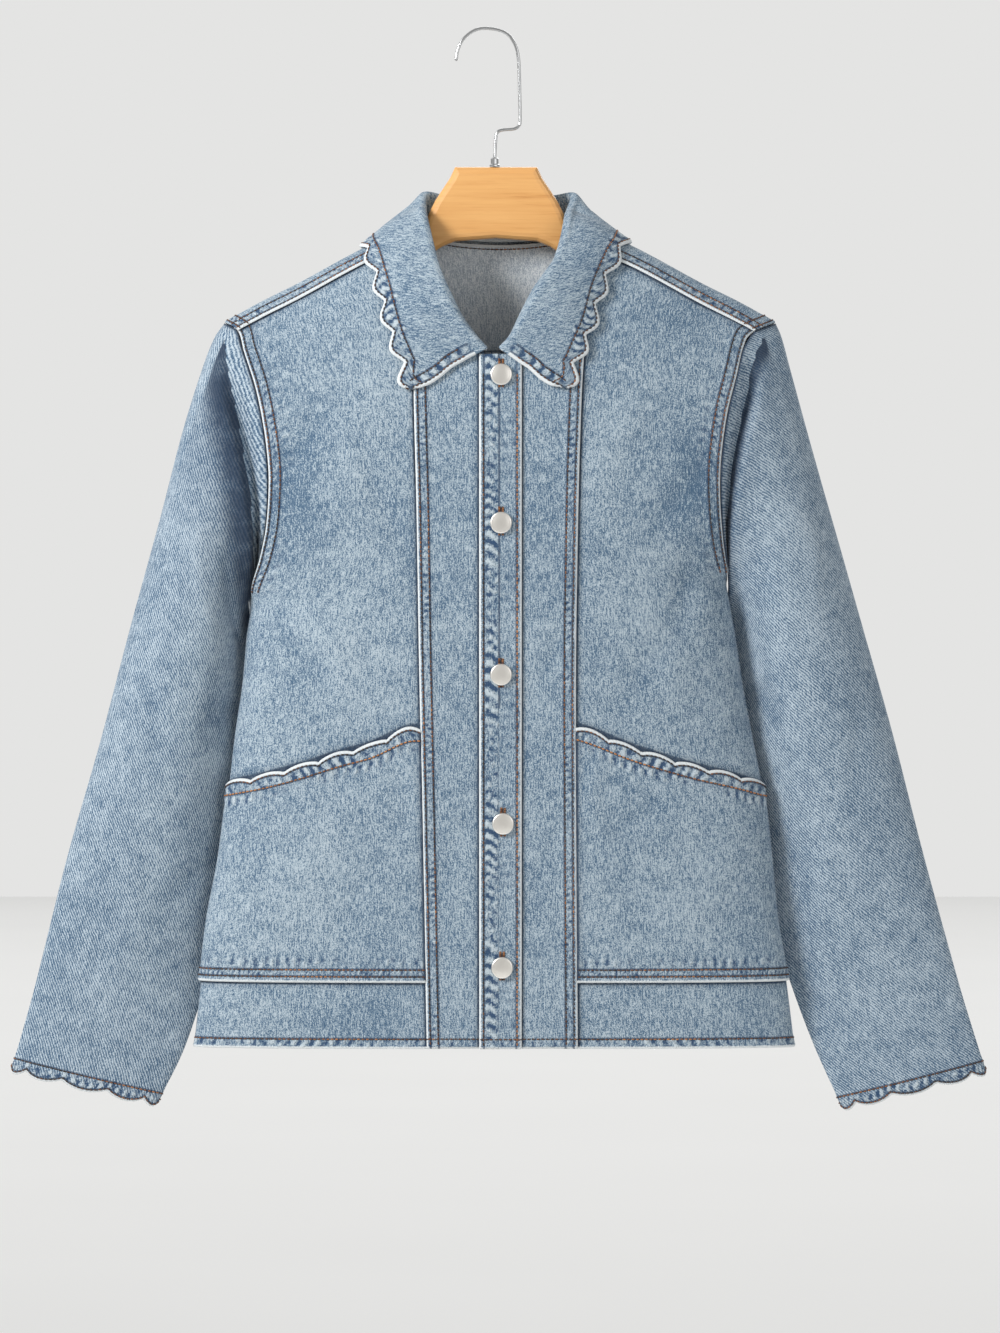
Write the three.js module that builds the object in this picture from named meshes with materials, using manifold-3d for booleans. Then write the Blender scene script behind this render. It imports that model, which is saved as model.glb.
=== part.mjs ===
// A light-wash denim jacket, buttoned, on a wooden hanger with a bent wire hook.
// Millimetres, +Z up, +X to the viewer's right, the front faces -Y.
// The garment is modelled with its hem at z = 0 and the middle of its placket at x = 0, and is then
// hung so that the inside of the hook's crown lies at the origin.

import * as THREE from "three";
import { mergeVertices } from "three/addons/utils/BufferGeometryUtils.js";
import Module from "manifold-3d";

const wasm = await Module();
wasm.setup();

// Cloth
const CLOTH = 1.4; // one ply of denim
const COLLAR_CLOTH = 2.4; // two plies and their turned edge
const GAP = 0.3; // between two pieces that are sewn together
const LAYER = CLOTH + GAP; // from one ply to the next one lying on it
const FRONT = -1;
const BACK = 1;

// Heights above the hem
const BAND_TOP = 58;
const POCKET_FOOT = 51.5; // the pocket laps over the band
const PLACKET_TOP = 537;
const CROWN = { x: -9.4, z: 792.4 }; // the inside of the hook's crown

// Front opening, from the middle of the placket
const PLACKET_LEFT = -15.6;
const PLACKET_RIGHT = 16.4;
const STRIP_TUCK = 3.6; // how far the left strip runs under the placket
const PANEL_TUCK = 10; // how far a side front runs under its strip
const PANEL_GAP = 0.6; // between a side front and its strip above the chest
const CHEST = { low: 400, high: 440 }; // where the side front comes out from under its strip

// Shoulders, neck and yoke
const SHOULDER_ROUND = 200; // height over which the shoulder rounds off to full depth
const NECK = { half: 66, z: 637, frontDrop: 100, backDrop: 11, clear: 1.5 };
const FRONT_SEAM_DROP = { left: 12, right: 16 }; // yoke seam below the shoulder ridge
const YOKE_LAP = 5;
const FAN_EASE = 8; // over which the fanned rows of a side front leave its edges
const BACK_SEAM = { centreDrop: 129, endDrop: 72, endX: 195 };

const BUTTON = {
  cap: 8.5,
  stem: 2.2,
  disc: 5,
  discThickness: 1.5,
  chamfer: 0.9, // of the cap's lower edge
  rim: { low: 0.8, high: 2.2 }, // heights over the cap's underside
  crown: { inset: 1, low: 3.3, high: 3.9 },
  facets: 12,
};
const BUTTON_PLACES = [
  { x: 0.8, z: 521 },
  { x: 0.8, z: 407 },
  { x: 0.8, z: 290 },
  { x: 2.3, z: 174.7 },
  { x: 1.6, z: 63.2 },
];

const HANGER = {
  thickness: 11,
  edge: 0.48, // how far its edges round off, as a share of the thickness
  under: 0.6, // how far its arms lie under the shoulder ridge
  edgeSteps: 3,
};
const WIRE = { radius: 1.3, steps: 52 }; // of the hook

// Half widths at the side seams. Above the underarm it is the side that the armhole cuts away.
const SIDES = [
  { z: 0, left: 238, right: 229 },
  { z: 55, left: 232, right: 222 },
  { z: 100, left: 226.5, right: 214.5 },
  { z: 145, left: 218, right: 210 },
  { z: 200, left: 211, right: 204 },
  { z: 243, left: 206, right: 196 },
  { z: 280, left: 200.5, right: 189 },
  { z: 320, left: 197, right: 183 },
  { z: 348, left: 193.5, right: 178 },
  { z: 364, left: 199, right: 176.5 },
  { z: 400, left: 214, right: 193 },
  { z: 450, left: 236, right: 222 },
  { z: 500, left: 256, right: 246 },
  { z: 566, left: 280, right: 280 },
];

// Half depths of the body at its middle.
const DEPTHS = [
  { z: 0, front: 27, back: 23 },
  { z: 100, front: 32, back: 27 },
  { z: 200, front: 37, back: 30 },
  { z: 300, front: 42, back: 33 },
  { z: 400, front: 45, back: 36 },
  { z: 660, front: 45, back: 36 },
];

// The ridge of the shoulders.
const RIDGE = [
  { x: 0, z: 664 },
  { x: 40, z: 650 },
  { x: 66, z: 637 },
  { x: 104, z: 621 },
  { x: 156, z: 593 },
  { x: 187, z: 577.5 },
  { x: 213, z: 562.6 },
  { x: 230, z: 551 },
];

// The armhole seams, from the underarm up to the tip of the shoulder.
const ARMHOLES = {
  left: [
    { z: 348, front: 193.5, back: 193.5 },
    { z: 360, front: 192, back: 193 },
    { z: 379, front: 186, back: 190 },
    { z: 405, front: 180.6, back: 187 },
    { z: 441, front: 178.6, back: 187 },
    { z: 474, front: 181.4, back: 190 },
    { z: 511, front: 188.7, back: 196 },
    { z: 541, front: 198.5, back: 202 },
    { z: 557, front: 203.5, back: 206.5 },
    { z: 562.6, front: 213, back: 213 },
  ],
  right: [
    { z: 364, front: 176.5, back: 176.5 },
    { z: 374, front: 175.5, back: 177 },
    { z: 395, front: 172.4, back: 177.5 },
    { z: 426, front: 170, back: 179 },
    { z: 457, front: 170.8, back: 182 },
    { z: 492, front: 175.5, back: 188 },
    { z: 523, front: 183.3, back: 194 },
    { z: 544, front: 188.5, back: 200 },
    { z: 555, front: 195, back: 205 },
    { z: 562.6, front: 213, back: 213 },
  ],
};

// The princess seams, where the strips lap over the side fronts.
const PRINCESS = [
  { z: 0, left: 56.2, right: 59.8 },
  { z: 200, left: 60, right: 58.5 },
  { z: 300, left: 62, right: 58.2 },
  { z: 420, left: 64, right: 60 },
  { z: 505, left: 66, right: 62.5 },
  { z: 560, left: 66, right: 65.5 },
  { z: 640, left: 66, right: 66 },
];

// The pocket mouths: the height of the scallops' crests.
const POCKET_MOUTHS = [
  { x: 56, left: 250, right: 252 },
  { x: 72, left: 249, right: 247 },
  { x: 99, left: 237, right: 236 },
  { x: 126, left: 229.5, right: 227 },
  { x: 150, left: 221.5, right: 220 },
  { x: 180, left: 213, right: 212.5 },
  { x: 204, left: 207.5, right: 204.5 },
  { x: 215, left: 204, right: 202 },
];

// Collar stations from the centre front (0) to the centre back (10). turn is the place on the neck
// seam, in degrees round from the centre front. roll is the crest of the collar. edge is the fall's
// outer edge, by its side distance and its drop below the shoulder ridge, negative on the back.
const COLLAR_LEFT = [
  { at: 0, turn: 9.6, rollX: 11, rollZ: 542.6, stand: 2, edgeX: 76, edgeDrop: 119, round: 2.3 },
  { at: 1, turn: 18, rollX: 20, rollZ: 552.5, stand: 4, edgeX: 77, edgeDrop: 102, round: 2.7 },
  { at: 2, turn: 30, rollX: 31, rollZ: 567, stand: 6, edgeX: 83, edgeDrop: 83.5, round: 2.8 },
  { at: 3, turn: 44, rollX: 40, rollZ: 584, stand: 8, edgeX: 88, edgeDrop: 64, round: 3 },
  { at: 4, turn: 57, rollX: 47.5, rollZ: 600, stand: 8, edgeX: 92, edgeDrop: 45.5, round: 3.2 },
  { at: 5, turn: 68, rollX: 53, rollZ: 616, stand: 7, edgeX: 96.5, edgeDrop: 27.5, round: 3.4 },
  { at: 6, turn: 78, rollX: 57.5, rollZ: 634, stand: 5, edgeX: 101, edgeDrop: 10.5, round: 3.4 },
  { at: 7, turn: 89, rollX: 61.5, rollZ: 654, stand: 1, edgeX: 104, edgeDrop: 0.5, round: 3.4 },
  { at: 8, turn: 108, rollX: 59.5, rollZ: 666, stand: -3, edgeX: 96, edgeDrop: -14, round: 3.4 },
  { at: 9, turn: 138, rollX: 42, rollZ: 664, stand: -5, edgeX: 68, edgeDrop: -34, round: 3.4 },
  { at: 10, turn: 180, rollX: 0, rollZ: 660, stand: -7, edgeX: 0, edgeDrop: -64, round: 3.4 },
];
const COLLAR_RIGHT = [
  { at: 0, turn: 2, rollX: 0.5, rollZ: 542.6, stand: 2, edgeX: 57, edgeDrop: 127.5, round: 2.4 },
  { at: 1, turn: 11, rollX: 8.5, rollZ: 551.5, stand: 4, edgeX: 60, edgeDrop: 110, round: 2.7 },
  { at: 2, turn: 24, rollX: 17, rollZ: 567, stand: 6, edgeX: 66, edgeDrop: 92, round: 2.8 },
  { at: 3, turn: 41, rollX: 28, rollZ: 587, stand: 8, edgeX: 72, edgeDrop: 73.5, round: 3 },
  { at: 4, turn: 56, rollX: 38, rollZ: 601.5, stand: 8, edgeX: 76.5, edgeDrop: 54, round: 3.2 },
  { at: 5, turn: 68, rollX: 45.5, rollZ: 613, stand: 7, edgeX: 82.5, edgeDrop: 35, round: 3.4 },
  { at: 6, turn: 78, rollX: 51, rollZ: 630, stand: 5, edgeX: 90, edgeDrop: 16, round: 3.4 },
  { at: 7, turn: 89, rollX: 55, rollZ: 650.5, stand: 1, edgeX: 97, edgeDrop: 1, round: 3.4 },
  { at: 8, turn: 108, rollX: 58.5, rollZ: 665, stand: -3, edgeX: 92, edgeDrop: -14, round: 3.4 },
  { at: 9, turn: 138, rollX: 42, rollZ: 664, stand: -5, edgeX: 68, edgeDrop: -34, round: 3.4 },
  { at: 10, turn: 180, rollX: 0, rollZ: 660, stand: -7, edgeX: 0, edgeDrop: -64, round: 3.4 },
];
const COLLAR = {
  steps: 58, // along the neck
  fallRows: 7,
  scallops: { first: 0.3, last: 14.7 }, // along the outer edge, a lobe standing out at each tip
  scallopHeight: 7,
  endScallops: 2.4, // along each front end
  endHeight: 1.2,
  endRest: 0.6, // the share of the end's scallops that lies above its straight line
  edgeLift: 4.6, // of the outer edge off the body
  bulge: 2.5, // of the fall
  seamIn: 0.98, // the collar's own seam, as a share of the neck's half width
  seamRise: 2.2, // and how far it lies above the neck's edge
  rollDrop: 0.8, // of the roll's flanks, as a share of its half width
  fan: 6, // how far behind the front seam the folds of the roll point to
};

// Sleeve sections from the armhole (0) to the cuff (1): the outer and the inner edge, and how far
// the cloth bulges to the front and to the back of the line between them. round shapes the inner
// side of the front: 1 is a flat flank beside the body, 0.6 an even curve.
const SLEEVE_LEFT = [
  { at: 0, outX: 213, outZ: 562, outY: 0, inX: 195.5, inZ: 348, inY: 0, front: 33, back: 27, round: 1 },
  { at: 0.03, outX: 221, outZ: 551, outY: 0, inX: 197, inZ: 341, inY: 4, front: 34, back: 27, round: 1 },
  { at: 0.08, outX: 231, outZ: 527, outY: 0, inX: 197, inZ: 331, inY: 9, front: 36, back: 28, round: 1 },
  { at: 0.16, outX: 247, outZ: 478, outY: 1, inX: 195, inZ: 312, inY: 18, front: 38, back: 27, round: 1.4 },
  { at: 0.28, outX: 265.5, outZ: 408, outY: 2, inX: 190, inZ: 283, inY: 24, front: 39, back: 25, round: 1.7 },
  { at: 0.42, outX: 287.5, outZ: 328, outY: 3, inX: 192, inZ: 235, inY: 26, front: 37, back: 22, round: 1.6 },
  { at: 0.58, outX: 311.5, outZ: 237, outY: 4, inX: 201, inZ: 172, inY: 24, front: 31, back: 18, round: 1.3 },
  { at: 0.75, outX: 337.5, outZ: 146, outY: 4, inX: 213, inZ: 105, inY: 20, front: 23, back: 14, round: 1 },
  { at: 0.9, outX: 362.5, outZ: 46, outY: 4, inX: 235, inZ: 34, inY: 14, front: 14, back: 11, round: 0.8 },
  { at: 0.95, outX: 371, outZ: 15, outY: 4, inX: 249, inZ: -6, inY: 11, front: 11, back: 10, round: 0.65 },
  { at: 1, outX: 380, outZ: -16, outY: 4, inX: 267.5, inZ: -43, inY: 8, front: 9, back: 9, round: 0.6 },
];
const SLEEVE_RIGHT = [
  { at: 0, outX: 213, outZ: 562, outY: 0, inX: 178.5, inZ: 364, inY: 0, front: 33, back: 27, round: 1 },
  { at: 0.03, outX: 218, outZ: 551, outY: 0, inX: 181, inZ: 356, inY: 4, front: 34, back: 27, round: 1 },
  { at: 0.08, outX: 225.5, outZ: 525, outY: 0, inX: 182, inZ: 345, inY: 9, front: 36, back: 28, round: 1 },
  { at: 0.16, outX: 241.5, outZ: 469, outY: 1, inX: 180, inZ: 322, inY: 19, front: 39, back: 27, round: 1.4 },
  { at: 0.28, outX: 261.5, outZ: 400, outY: 2, inX: 177, inZ: 290, inY: 25, front: 42, back: 25, round: 1.6 },
  { at: 0.42, outX: 282, outZ: 328, outY: 3, inX: 183, inZ: 240, inY: 26, front: 40, back: 22, round: 1.5 },
  { at: 0.58, outX: 306, outZ: 243, outY: 4, inX: 194, inZ: 175, inY: 24, front: 33, back: 18, round: 1.3 },
  { at: 0.75, outX: 330.5, outZ: 147, outY: 4, inX: 209, inZ: 108, inY: 20, front: 24, back: 14, round: 1 },
  { at: 0.9, outX: 358, outZ: 47, outY: 4, inX: 231, inZ: 40, inY: 14, front: 14, back: 11, round: 0.8 },
  { at: 0.95, outX: 368, outZ: 14, outY: 4, inX: 247, inZ: -2, inY: 11, front: 11, back: 10, round: 0.65 },
  { at: 1, outX: 378, outZ: -18, outY: 4, inX: 267, inZ: -46, inY: 8, front: 9, back: 9, round: 0.6 },
];
const SLEEVE_STATIONS = [0, 0.018, 0.036, 0.055, 0.085, 0.13, 0.21, 0.33, 0.47, 0.62, 0.78, 0.91, 1];
const SLEEVE = {
  half: 15, // points along the front and along the back of a section
  clear: 0.9, // outside the body's armhole edge
  underarmClear: 1.5, // more at the underarm
  blend: 0.26, // where a section has left the shape of the armhole
  scallops: 10,
  scallopHeight: 5.2,
  even: 0.6, // the shape of an even curve
  flank: { low: 0.1, high: 0.6 }, // where a section turns from its flank to the even curve
};
// Where points are set out along an armhole near the shoulder, by their drop below the ridge.
const SHOULDER_DROPS = { [FRONT]: [0, 2.5], [BACK]: [0, 2.5, 10, 32] };
const ARMHOLE_REACH = { near: 140, far: 213 };
const ARMHOLE_SPREAD = 0.16; // how much closer together its points are below the yoke
// The fold that runs down beside the front armhole seam.
const SLEEVE_FOLD = {
  left: { at: 0.042, depth: 9, half: 0.017 },
  right: { at: 0.036, depth: 12, half: 0.02 },
};
const FOLD_REACH = { start: { low: 0.2, high: 0.4 }, stop: { low: 0.72, high: 0.92 } };

// The wooden hanger above and between the shoulders, about its own middle. Past x = 66 its top
// follows the ridge.
const HANGER_MIDDLE = -3;
const HANGER_NECK = [
  { x: 32, top: 685.6, foot: 627.5 },
  { x: 36, top: 677, foot: 626 },
  { x: 42, top: 668, foot: 623.5 },
  { x: 47.5, top: 659.5, foot: 620 },
  { x: 52.5, top: 649.5, foot: 616.5 },
  { x: 55.5, top: 641.5, foot: 613.5 },
  { x: 59.5, top: 634, foot: 611.5 },
];
const HANGER_ARCH = 630; // the foot of its middle
const HANGER_ARM = [
  { x: 70, height: 26 },
  { x: 104, height: 27 },
  { x: 140, height: 27 },
  { x: 175, height: 24 },
  { x: 192, height: 20 },
  { x: 200, height: 13 },
];
const HANGER_TIP = { x: 203.5, drop: 6 };
const HOOK_PATH = [
  { x: -4.3, z: 686.2 },
  { x: -4.1, z: 694 },
  { x: -3.4, z: 706 },
  { x: -2.6, z: 711.6 },
  { x: 0.8, z: 714.3 },
  { x: 11, z: 715.4 },
  { x: 14.6, z: 717.8 },
  { x: 15.6, z: 722 },
  { x: 15.4, z: 743 },
  { x: 14.2, z: 772 },
  { x: 9.6, z: 785 },
  { x: 2.2, z: 791.2 },
  { x: -9.4, z: 793.7 },
  { x: -19.6, z: 792.3 },
  { x: -28.6, z: 785.4 },
  { x: -33, z: 776.5 },
  { x: -34.3, z: 768.3 },
];

const { lerp, clamp, smoothstep, degToRad } = THREE.MathUtils;

// A smooth curve through one column of a table, over another column.
function curveOf(rows, from, to) {
  const xs = rows.map((row) => row[from]);
  const ys = rows.map((row) => row[to]);
  const last = xs.length - 1;
  const slopes = xs.map((_, i) => {
    const before = Math.max(i - 1, 0);
    const after = Math.min(i + 1, last);
    return (ys[after] - ys[before]) / (xs[after] - xs[before]);
  });
  return (x) => {
    const at = clamp(x, xs[0], xs[last]);
    const i = clamp(xs.findIndex((value) => value >= at) - 1, 0, last - 1);
    const span = xs[i + 1] - xs[i];
    const t = (at - xs[i]) / span;
    const rest = 1 - t;
    const start = rest * rest * (1 + 2 * t) * ys[i] + rest * rest * t * span * slopes[i];
    return start + t * t * (3 - 2 * t) * ys[i + 1] - t * t * rest * span * slopes[i + 1];
  };
}

const sideOf = (x) => (x < 0 ? "left" : "right");
const width = { left: curveOf(SIDES, "z", "left"), right: curveOf(SIDES, "z", "right") };
const depth = { [FRONT]: curveOf(DEPTHS, "z", "front"), [BACK]: curveOf(DEPTHS, "z", "back") };
const ridge = curveOf(RIDGE, "x", "z");
const princess = { left: curveOf(PRINCESS, "z", "left"), right: curveOf(PRINCESS, "z", "right") };
const mouth = {
  left: curveOf(POCKET_MOUTHS, "x", "left"),
  right: curveOf(POCKET_MOUTHS, "x", "right"),
};
const armhole = {
  left: { [FRONT]: curveOf(ARMHOLES.left, "z", "front"), [BACK]: curveOf(ARMHOLES.left, "z", "back") },
  right: { [FRONT]: curveOf(ARMHOLES.right, "z", "front"), [BACK]: curveOf(ARMHOLES.right, "z", "back") },
};
const underarm = { left: ARMHOLES.left[0].z, right: ARMHOLES.right[0].z };

// The body's square of half depth at a place, negative past its side or above its ridge.
function squaredDepth(x, z, face) {
  const across = 1 - (Math.abs(x) / width[sideOf(x)](z)) ** 3;
  const fall = Math.max(0, 1 - (ridge(Math.abs(x)) - z) / SHOULDER_ROUND);
  return depth[face](z) ** 2 * across * (1 - fall * fall);
}

// The way the body's cloth faces at a place.
function torsoNormal(x, y, z, face) {
  const step = 0.05;
  return new THREE.Vector3(
    (squaredDepth(x - step, z, face) - squaredDepth(x + step, z, face)) / (2 * step),
    2 * y,
    (squaredDepth(x, z - step, face) - squaredDepth(x, z + step, face)) / (2 * step),
  ).normalize();
}

// A point of the body's cloth, moved out by a number of millimetres.
function onTorso(x, z, face, out = 0) {
  const y = face * Math.sqrt(Math.max(0, squaredDepth(x, z, face)));
  return new THREE.Vector3(x, y, z).addScaledVector(torsoNormal(x, y, z, face), out);
}

// The same, by the drop below the ridge. A positive drop is on the front, a negative one behind.
function overShoulder(x, drop, out = 0) {
  return onTorso(x, ridge(Math.abs(x)) - Math.abs(drop), drop >= 0 ? FRONT : BACK, out);
}

const leanOf = (drop) => Math.sign(drop) * Math.acos(1 - Math.abs(drop) / SHOULDER_ROUND);
const dropOf = (lean) => Math.sign(lean) * SHOULDER_ROUND * (1 - Math.cos(lean));

// The side seam, where front and back leave their gap.
function sideSeam(side, z, face) {
  const share = GAP / 2 / (depth[face](z) || 1);
  return width[side](z) * (1 - share * share) ** (1 / 3);
}

// The side distance of the armhole seam at a drop below the ridge.
function armholeAtDrop(side, face, drop) {
  let { near, far } = ARMHOLE_REACH;
  for (let i = 0; i < 40; i++) {
    const middle = (near + far) / 2;
    if (armhole[side][face](ridge(middle) - drop) > middle) near = middle;
    else far = middle;
  }
  return near;
}

// A place along a row of the body between two side distances, closer together towards the side.
function acrossBody(side, z, from, to, share) {
  const turn = (x) => Math.asin(Math.min(1, x / width[side](z)) ** 1.5);
  if (share >= 1) return to;
  return width[side](z) * Math.sin(lerp(turn(from), turn(to), share)) ** (2 / 3);
}

// Places along a row of the body between two side distances, and the length of cloth up to each.
function clothRuns(side, face, z, from, to) {
  const steps = 40;
  const places = [from];
  const runs = [0];
  let y = Math.sqrt(Math.max(0, squaredDepth(from, z, face)));
  for (let i = 1; i <= steps; i++) {
    const x = acrossBody(side, z, from, to, i / steps);
    const next = Math.sqrt(Math.max(0, squaredDepth(x, z, face)));
    runs.push(runs[i - 1] + Math.hypot(x - places[i - 1], next - y));
    places.push(x);
    y = next;
  }
  return { places, runs };
}
const clothRun = (side, face, z, from, to) => clothRuns(side, face, z, from, to).runs.at(-1);

// A place along a row of the body, at a share of the length of cloth between two side distances.
function alongCloth(side, face, z, from, to, share) {
  const { places, runs } = clothRuns(side, face, z, from, to);
  if (share <= 0) return from;
  if (share >= 1) return to;
  const goal = share * runs.at(-1);
  const i = runs.findIndex((run) => run >= goal);
  return lerp(places[i - 1], places[i], (goal - runs[i - 1]) / (runs[i] - runs[i - 1]));
}

// One scallop after another: 0 at a cusp, 1 at a crest.
const scallop = (turns) => Math.abs(Math.sin(Math.PI * turns)) ** 0.7;

// A closed wall of cloth from a grid of points on its two faces. A ring closes on itself.
function clothWall(columns, rows, pointAt, ring = false) {
  const wide = ring ? columns : columns + 1;
  const position = [];
  const index = [];
  for (const face of [0, 1])
    for (let j = 0; j <= rows; j++)
      for (let i = 0; i < wide; i++) position.push(...pointAt(i, j, face).toArray());
  const vertex = (i, j, face) => (face * (rows + 1) + j) * wide + (ring ? i % columns : i);
  const quad = (a, b, c, d) => index.push(a, b, c, a, c, d);
  for (let i = 0; i < columns; i++) {
    for (let j = 0; j < rows; j++) {
      quad(vertex(i, j, 1), vertex(i + 1, j, 1), vertex(i + 1, j + 1, 1), vertex(i, j + 1, 1));
      quad(vertex(i, j, 0), vertex(i, j + 1, 0), vertex(i + 1, j + 1, 0), vertex(i + 1, j, 0));
    }
    quad(vertex(i, 0, 0), vertex(i + 1, 0, 0), vertex(i + 1, 0, 1), vertex(i, 0, 1));
    quad(vertex(i, rows, 1), vertex(i + 1, rows, 1), vertex(i + 1, rows, 0), vertex(i, rows, 0));
  }
  for (let j = 0; j < rows && !ring; j++) {
    quad(vertex(0, j, 1), vertex(0, j + 1, 1), vertex(0, j + 1, 0), vertex(0, j, 0));
    quad(vertex(columns, j, 0), vertex(columns, j + 1, 0), vertex(columns, j + 1, 1), vertex(columns, j, 1));
  }
  const geometry = new THREE.BufferGeometry();
  geometry.setAttribute("position", new THREE.Float32BufferAttribute(position, 3));
  geometry.setIndex(index);
  return facingOut(geometry);
}

// Turns a closed mesh round where its faces point in.
function facingOut(geometry) {
  const corners = geometry.index.array;
  const p = geometry.getAttribute("position");
  const [a, b, c] = [new THREE.Vector3(), new THREE.Vector3(), new THREE.Vector3()];
  let volume = 0;
  for (let i = 0; i < corners.length; i += 3) {
    a.fromBufferAttribute(p, corners[i]);
    b.fromBufferAttribute(p, corners[i + 1]);
    c.fromBufferAttribute(p, corners[i + 2]);
    volume += a.dot(b.cross(c));
  }
  if (volume < 0)
    for (let i = 0; i < corners.length; i += 3)
      [corners[i + 1], corners[i + 2]] = [corners[i + 2], corners[i + 1]];
  return geometry;
}

const wallOffset = (layer, face, cloth = CLOTH) => layer + (face ? cloth / 2 : -cloth / 2);

// How far in the side fronts reach: under the strip, but beside it above the chest.
function panelInner(side, z) {
  const tucked = princess[side](z) - lerp(PANEL_TUCK, -PANEL_GAP, smoothstep(z, CHEST.low, CHEST.high));
  const neckShare = clamp((NECK.z - z) / NECK.frontDrop, 0, 1);
  return Math.max(tucked, NECK.half * Math.sqrt(1 - neckShare * neckShare) + NECK.clear);
}

// Where the pieces of the body end along an armhole, from the shoulder tip to the underarm.
const FRONT_YOKE_ROWS = 3;
const BACK_YOKE_ROWS = 5;
function armholeStops(side, face) {
  const seam = face === FRONT ? FRONT_SEAM_DROP[side] : BACK_SEAM.endDrop;
  const drops = [...SHOULDER_DROPS[face], seam - YOKE_LAP, seam];
  const stops = drops.map((drop) => {
    const x = armholeAtDrop(side, face, drop);
    return { x, z: ridge(x) - drop, drop };
  });
  const top = stops[stops.length - 1].z;
  const rows = SLEEVE.half - stops.length + 1;
  for (let i = 1; i <= rows; i++) {
    const share = (1 - Math.cos(Math.PI * lerp(ARMHOLE_SPREAD, 1, i / rows))) / 2;
    const start = (1 - Math.cos(Math.PI * ARMHOLE_SPREAD)) / 2;
    const z = lerp(top, underarm[side], (share - start) / (1 - start));
    stops.push({ x: Math.min(armhole[side][face](z), sideSeam(side, z, face)), z });
  }
  return stops;
}
const stops = {
  left: { [FRONT]: armholeStops("left", FRONT), [BACK]: armholeStops("left", BACK) },
  right: { [FRONT]: armholeStops("right", FRONT), [BACK]: armholeStops("right", BACK) },
};

// A side front, or one half of the back: level rows up to the underarm, then rows that fan up to
// the shoulder seam.
const LOW_ROWS = 6;
const PANEL_STOP = { [FRONT]: 2, [BACK]: 4 }; // the armhole stop where its upper edge ends
const panelRows = (face) => LOW_ROWS + SLEEVE.half - PANEL_STOP[face];
function bodyRow(side, face, j, inner, topDrop) {
  const under = underarm[side];
  if (j <= LOW_ROWS) {
    const z = lerp(BAND_TOP + GAP, under, j / LOW_ROWS);
    return { inX: inner(z), inZ: z, outX: sideSeam(side, z, face), outZ: z, bend: 0 };
  }
  const edge = stops[side][face];
  const stop = edge[edge.length - 1 - (j - LOW_ROWS)];
  const tip = edge[PANEL_STOP[face]];
  const share = (stop.z - under) / (tip.z - under);
  const topZ = (x) => ridge(x) - topDrop(x);
  let inX = inner(topZ(NECK.half));
  if (face === BACK) inX = inner(topZ(0));
  const inZ = lerp(under, topZ(inX), share);
  return { inX: inner(inZ), inZ, outX: stop.x, outZ: stop.z, bend: share * share, topZ, tip, topInX: inX };
}
function bodyPoint(side, face, row, share, out) {
  const sign = side === "left" ? -1 : 1;
  const x = acrossBody(side, (row.inZ + row.outZ) / 2, row.inX, row.outX, share);
  let z = lerp(row.inZ, row.outZ, (x - row.inX) / (row.outX - row.inX));
  if (row.bend) {
    const straight = lerp(row.topZ(row.topInX), row.tip.z, (x - row.topInX) / (row.tip.x - row.topInX));
    const inside = clamp((x - row.inX) / FAN_EASE, 0, 1) * clamp((row.outX - x) / FAN_EASE, 0, 1);
    z += row.bend * (row.topZ(x) - straight) * inside;
  }
  return onTorso(sign * x, z, face, out);
}

const FRONT_COLUMNS = 10;
function frontPanel(side) {
  const seam = FRONT_SEAM_DROP[side] - YOKE_LAP;
  return clothWall(FRONT_COLUMNS, panelRows(FRONT), (i, j, face) => {
    const row = bodyRow(side, FRONT, j, (z) => panelInner(side, z), () => seam);
    return bodyPoint(side, FRONT, row, i / FRONT_COLUMNS, wallOffset(0, face));
  });
}

const backSeamDrop = (x) =>
  lerp(BACK_SEAM.centreDrop, BACK_SEAM.endDrop, Math.abs(x) / BACK_SEAM.endX);
const BACK_COLUMNS = 9;
function backPanel() {
  return clothWall(2 * BACK_COLUMNS, panelRows(BACK), (i, j, face) => {
    const side = i < BACK_COLUMNS ? "left" : "right";
    const share = Math.abs(i - BACK_COLUMNS) / BACK_COLUMNS;
    const rowOf = (name) => bodyRow(name, BACK, j, () => 0, (x) => backSeamDrop(x) - YOKE_LAP);
    const row = rowOf(side);
    const middle = (rowOf("left").inZ + rowOf("right").inZ) / 2;
    row.inZ = middle;
    return bodyPoint(side, BACK, row, share, wallOffset(0, face));
  });
}

function hemBand(side) {
  return clothWall(FRONT_COLUMNS, 2, (i, j, face) => {
    const z = (BAND_TOP * j) / 2;
    const row = { inX: princess[side](z) - PANEL_TUCK, inZ: z, outX: sideSeam(side, z, FRONT), outZ: z };
    return bodyPoint(side, FRONT, row, i / FRONT_COLUMNS, wallOffset(0, face));
  });
}

function backBand() {
  return clothWall(2 * BACK_COLUMNS, 2, (i, j, face) => {
    const side = i < BACK_COLUMNS ? "left" : "right";
    const z = (BAND_TOP * j) / 2;
    const row = { inX: 0, inZ: z, outX: sideSeam(side, z, BACK), outZ: z };
    return bodyPoint(side, BACK, row, Math.abs(i - BACK_COLUMNS) / BACK_COLUMNS, wallOffset(0, face));
  });
}

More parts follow.
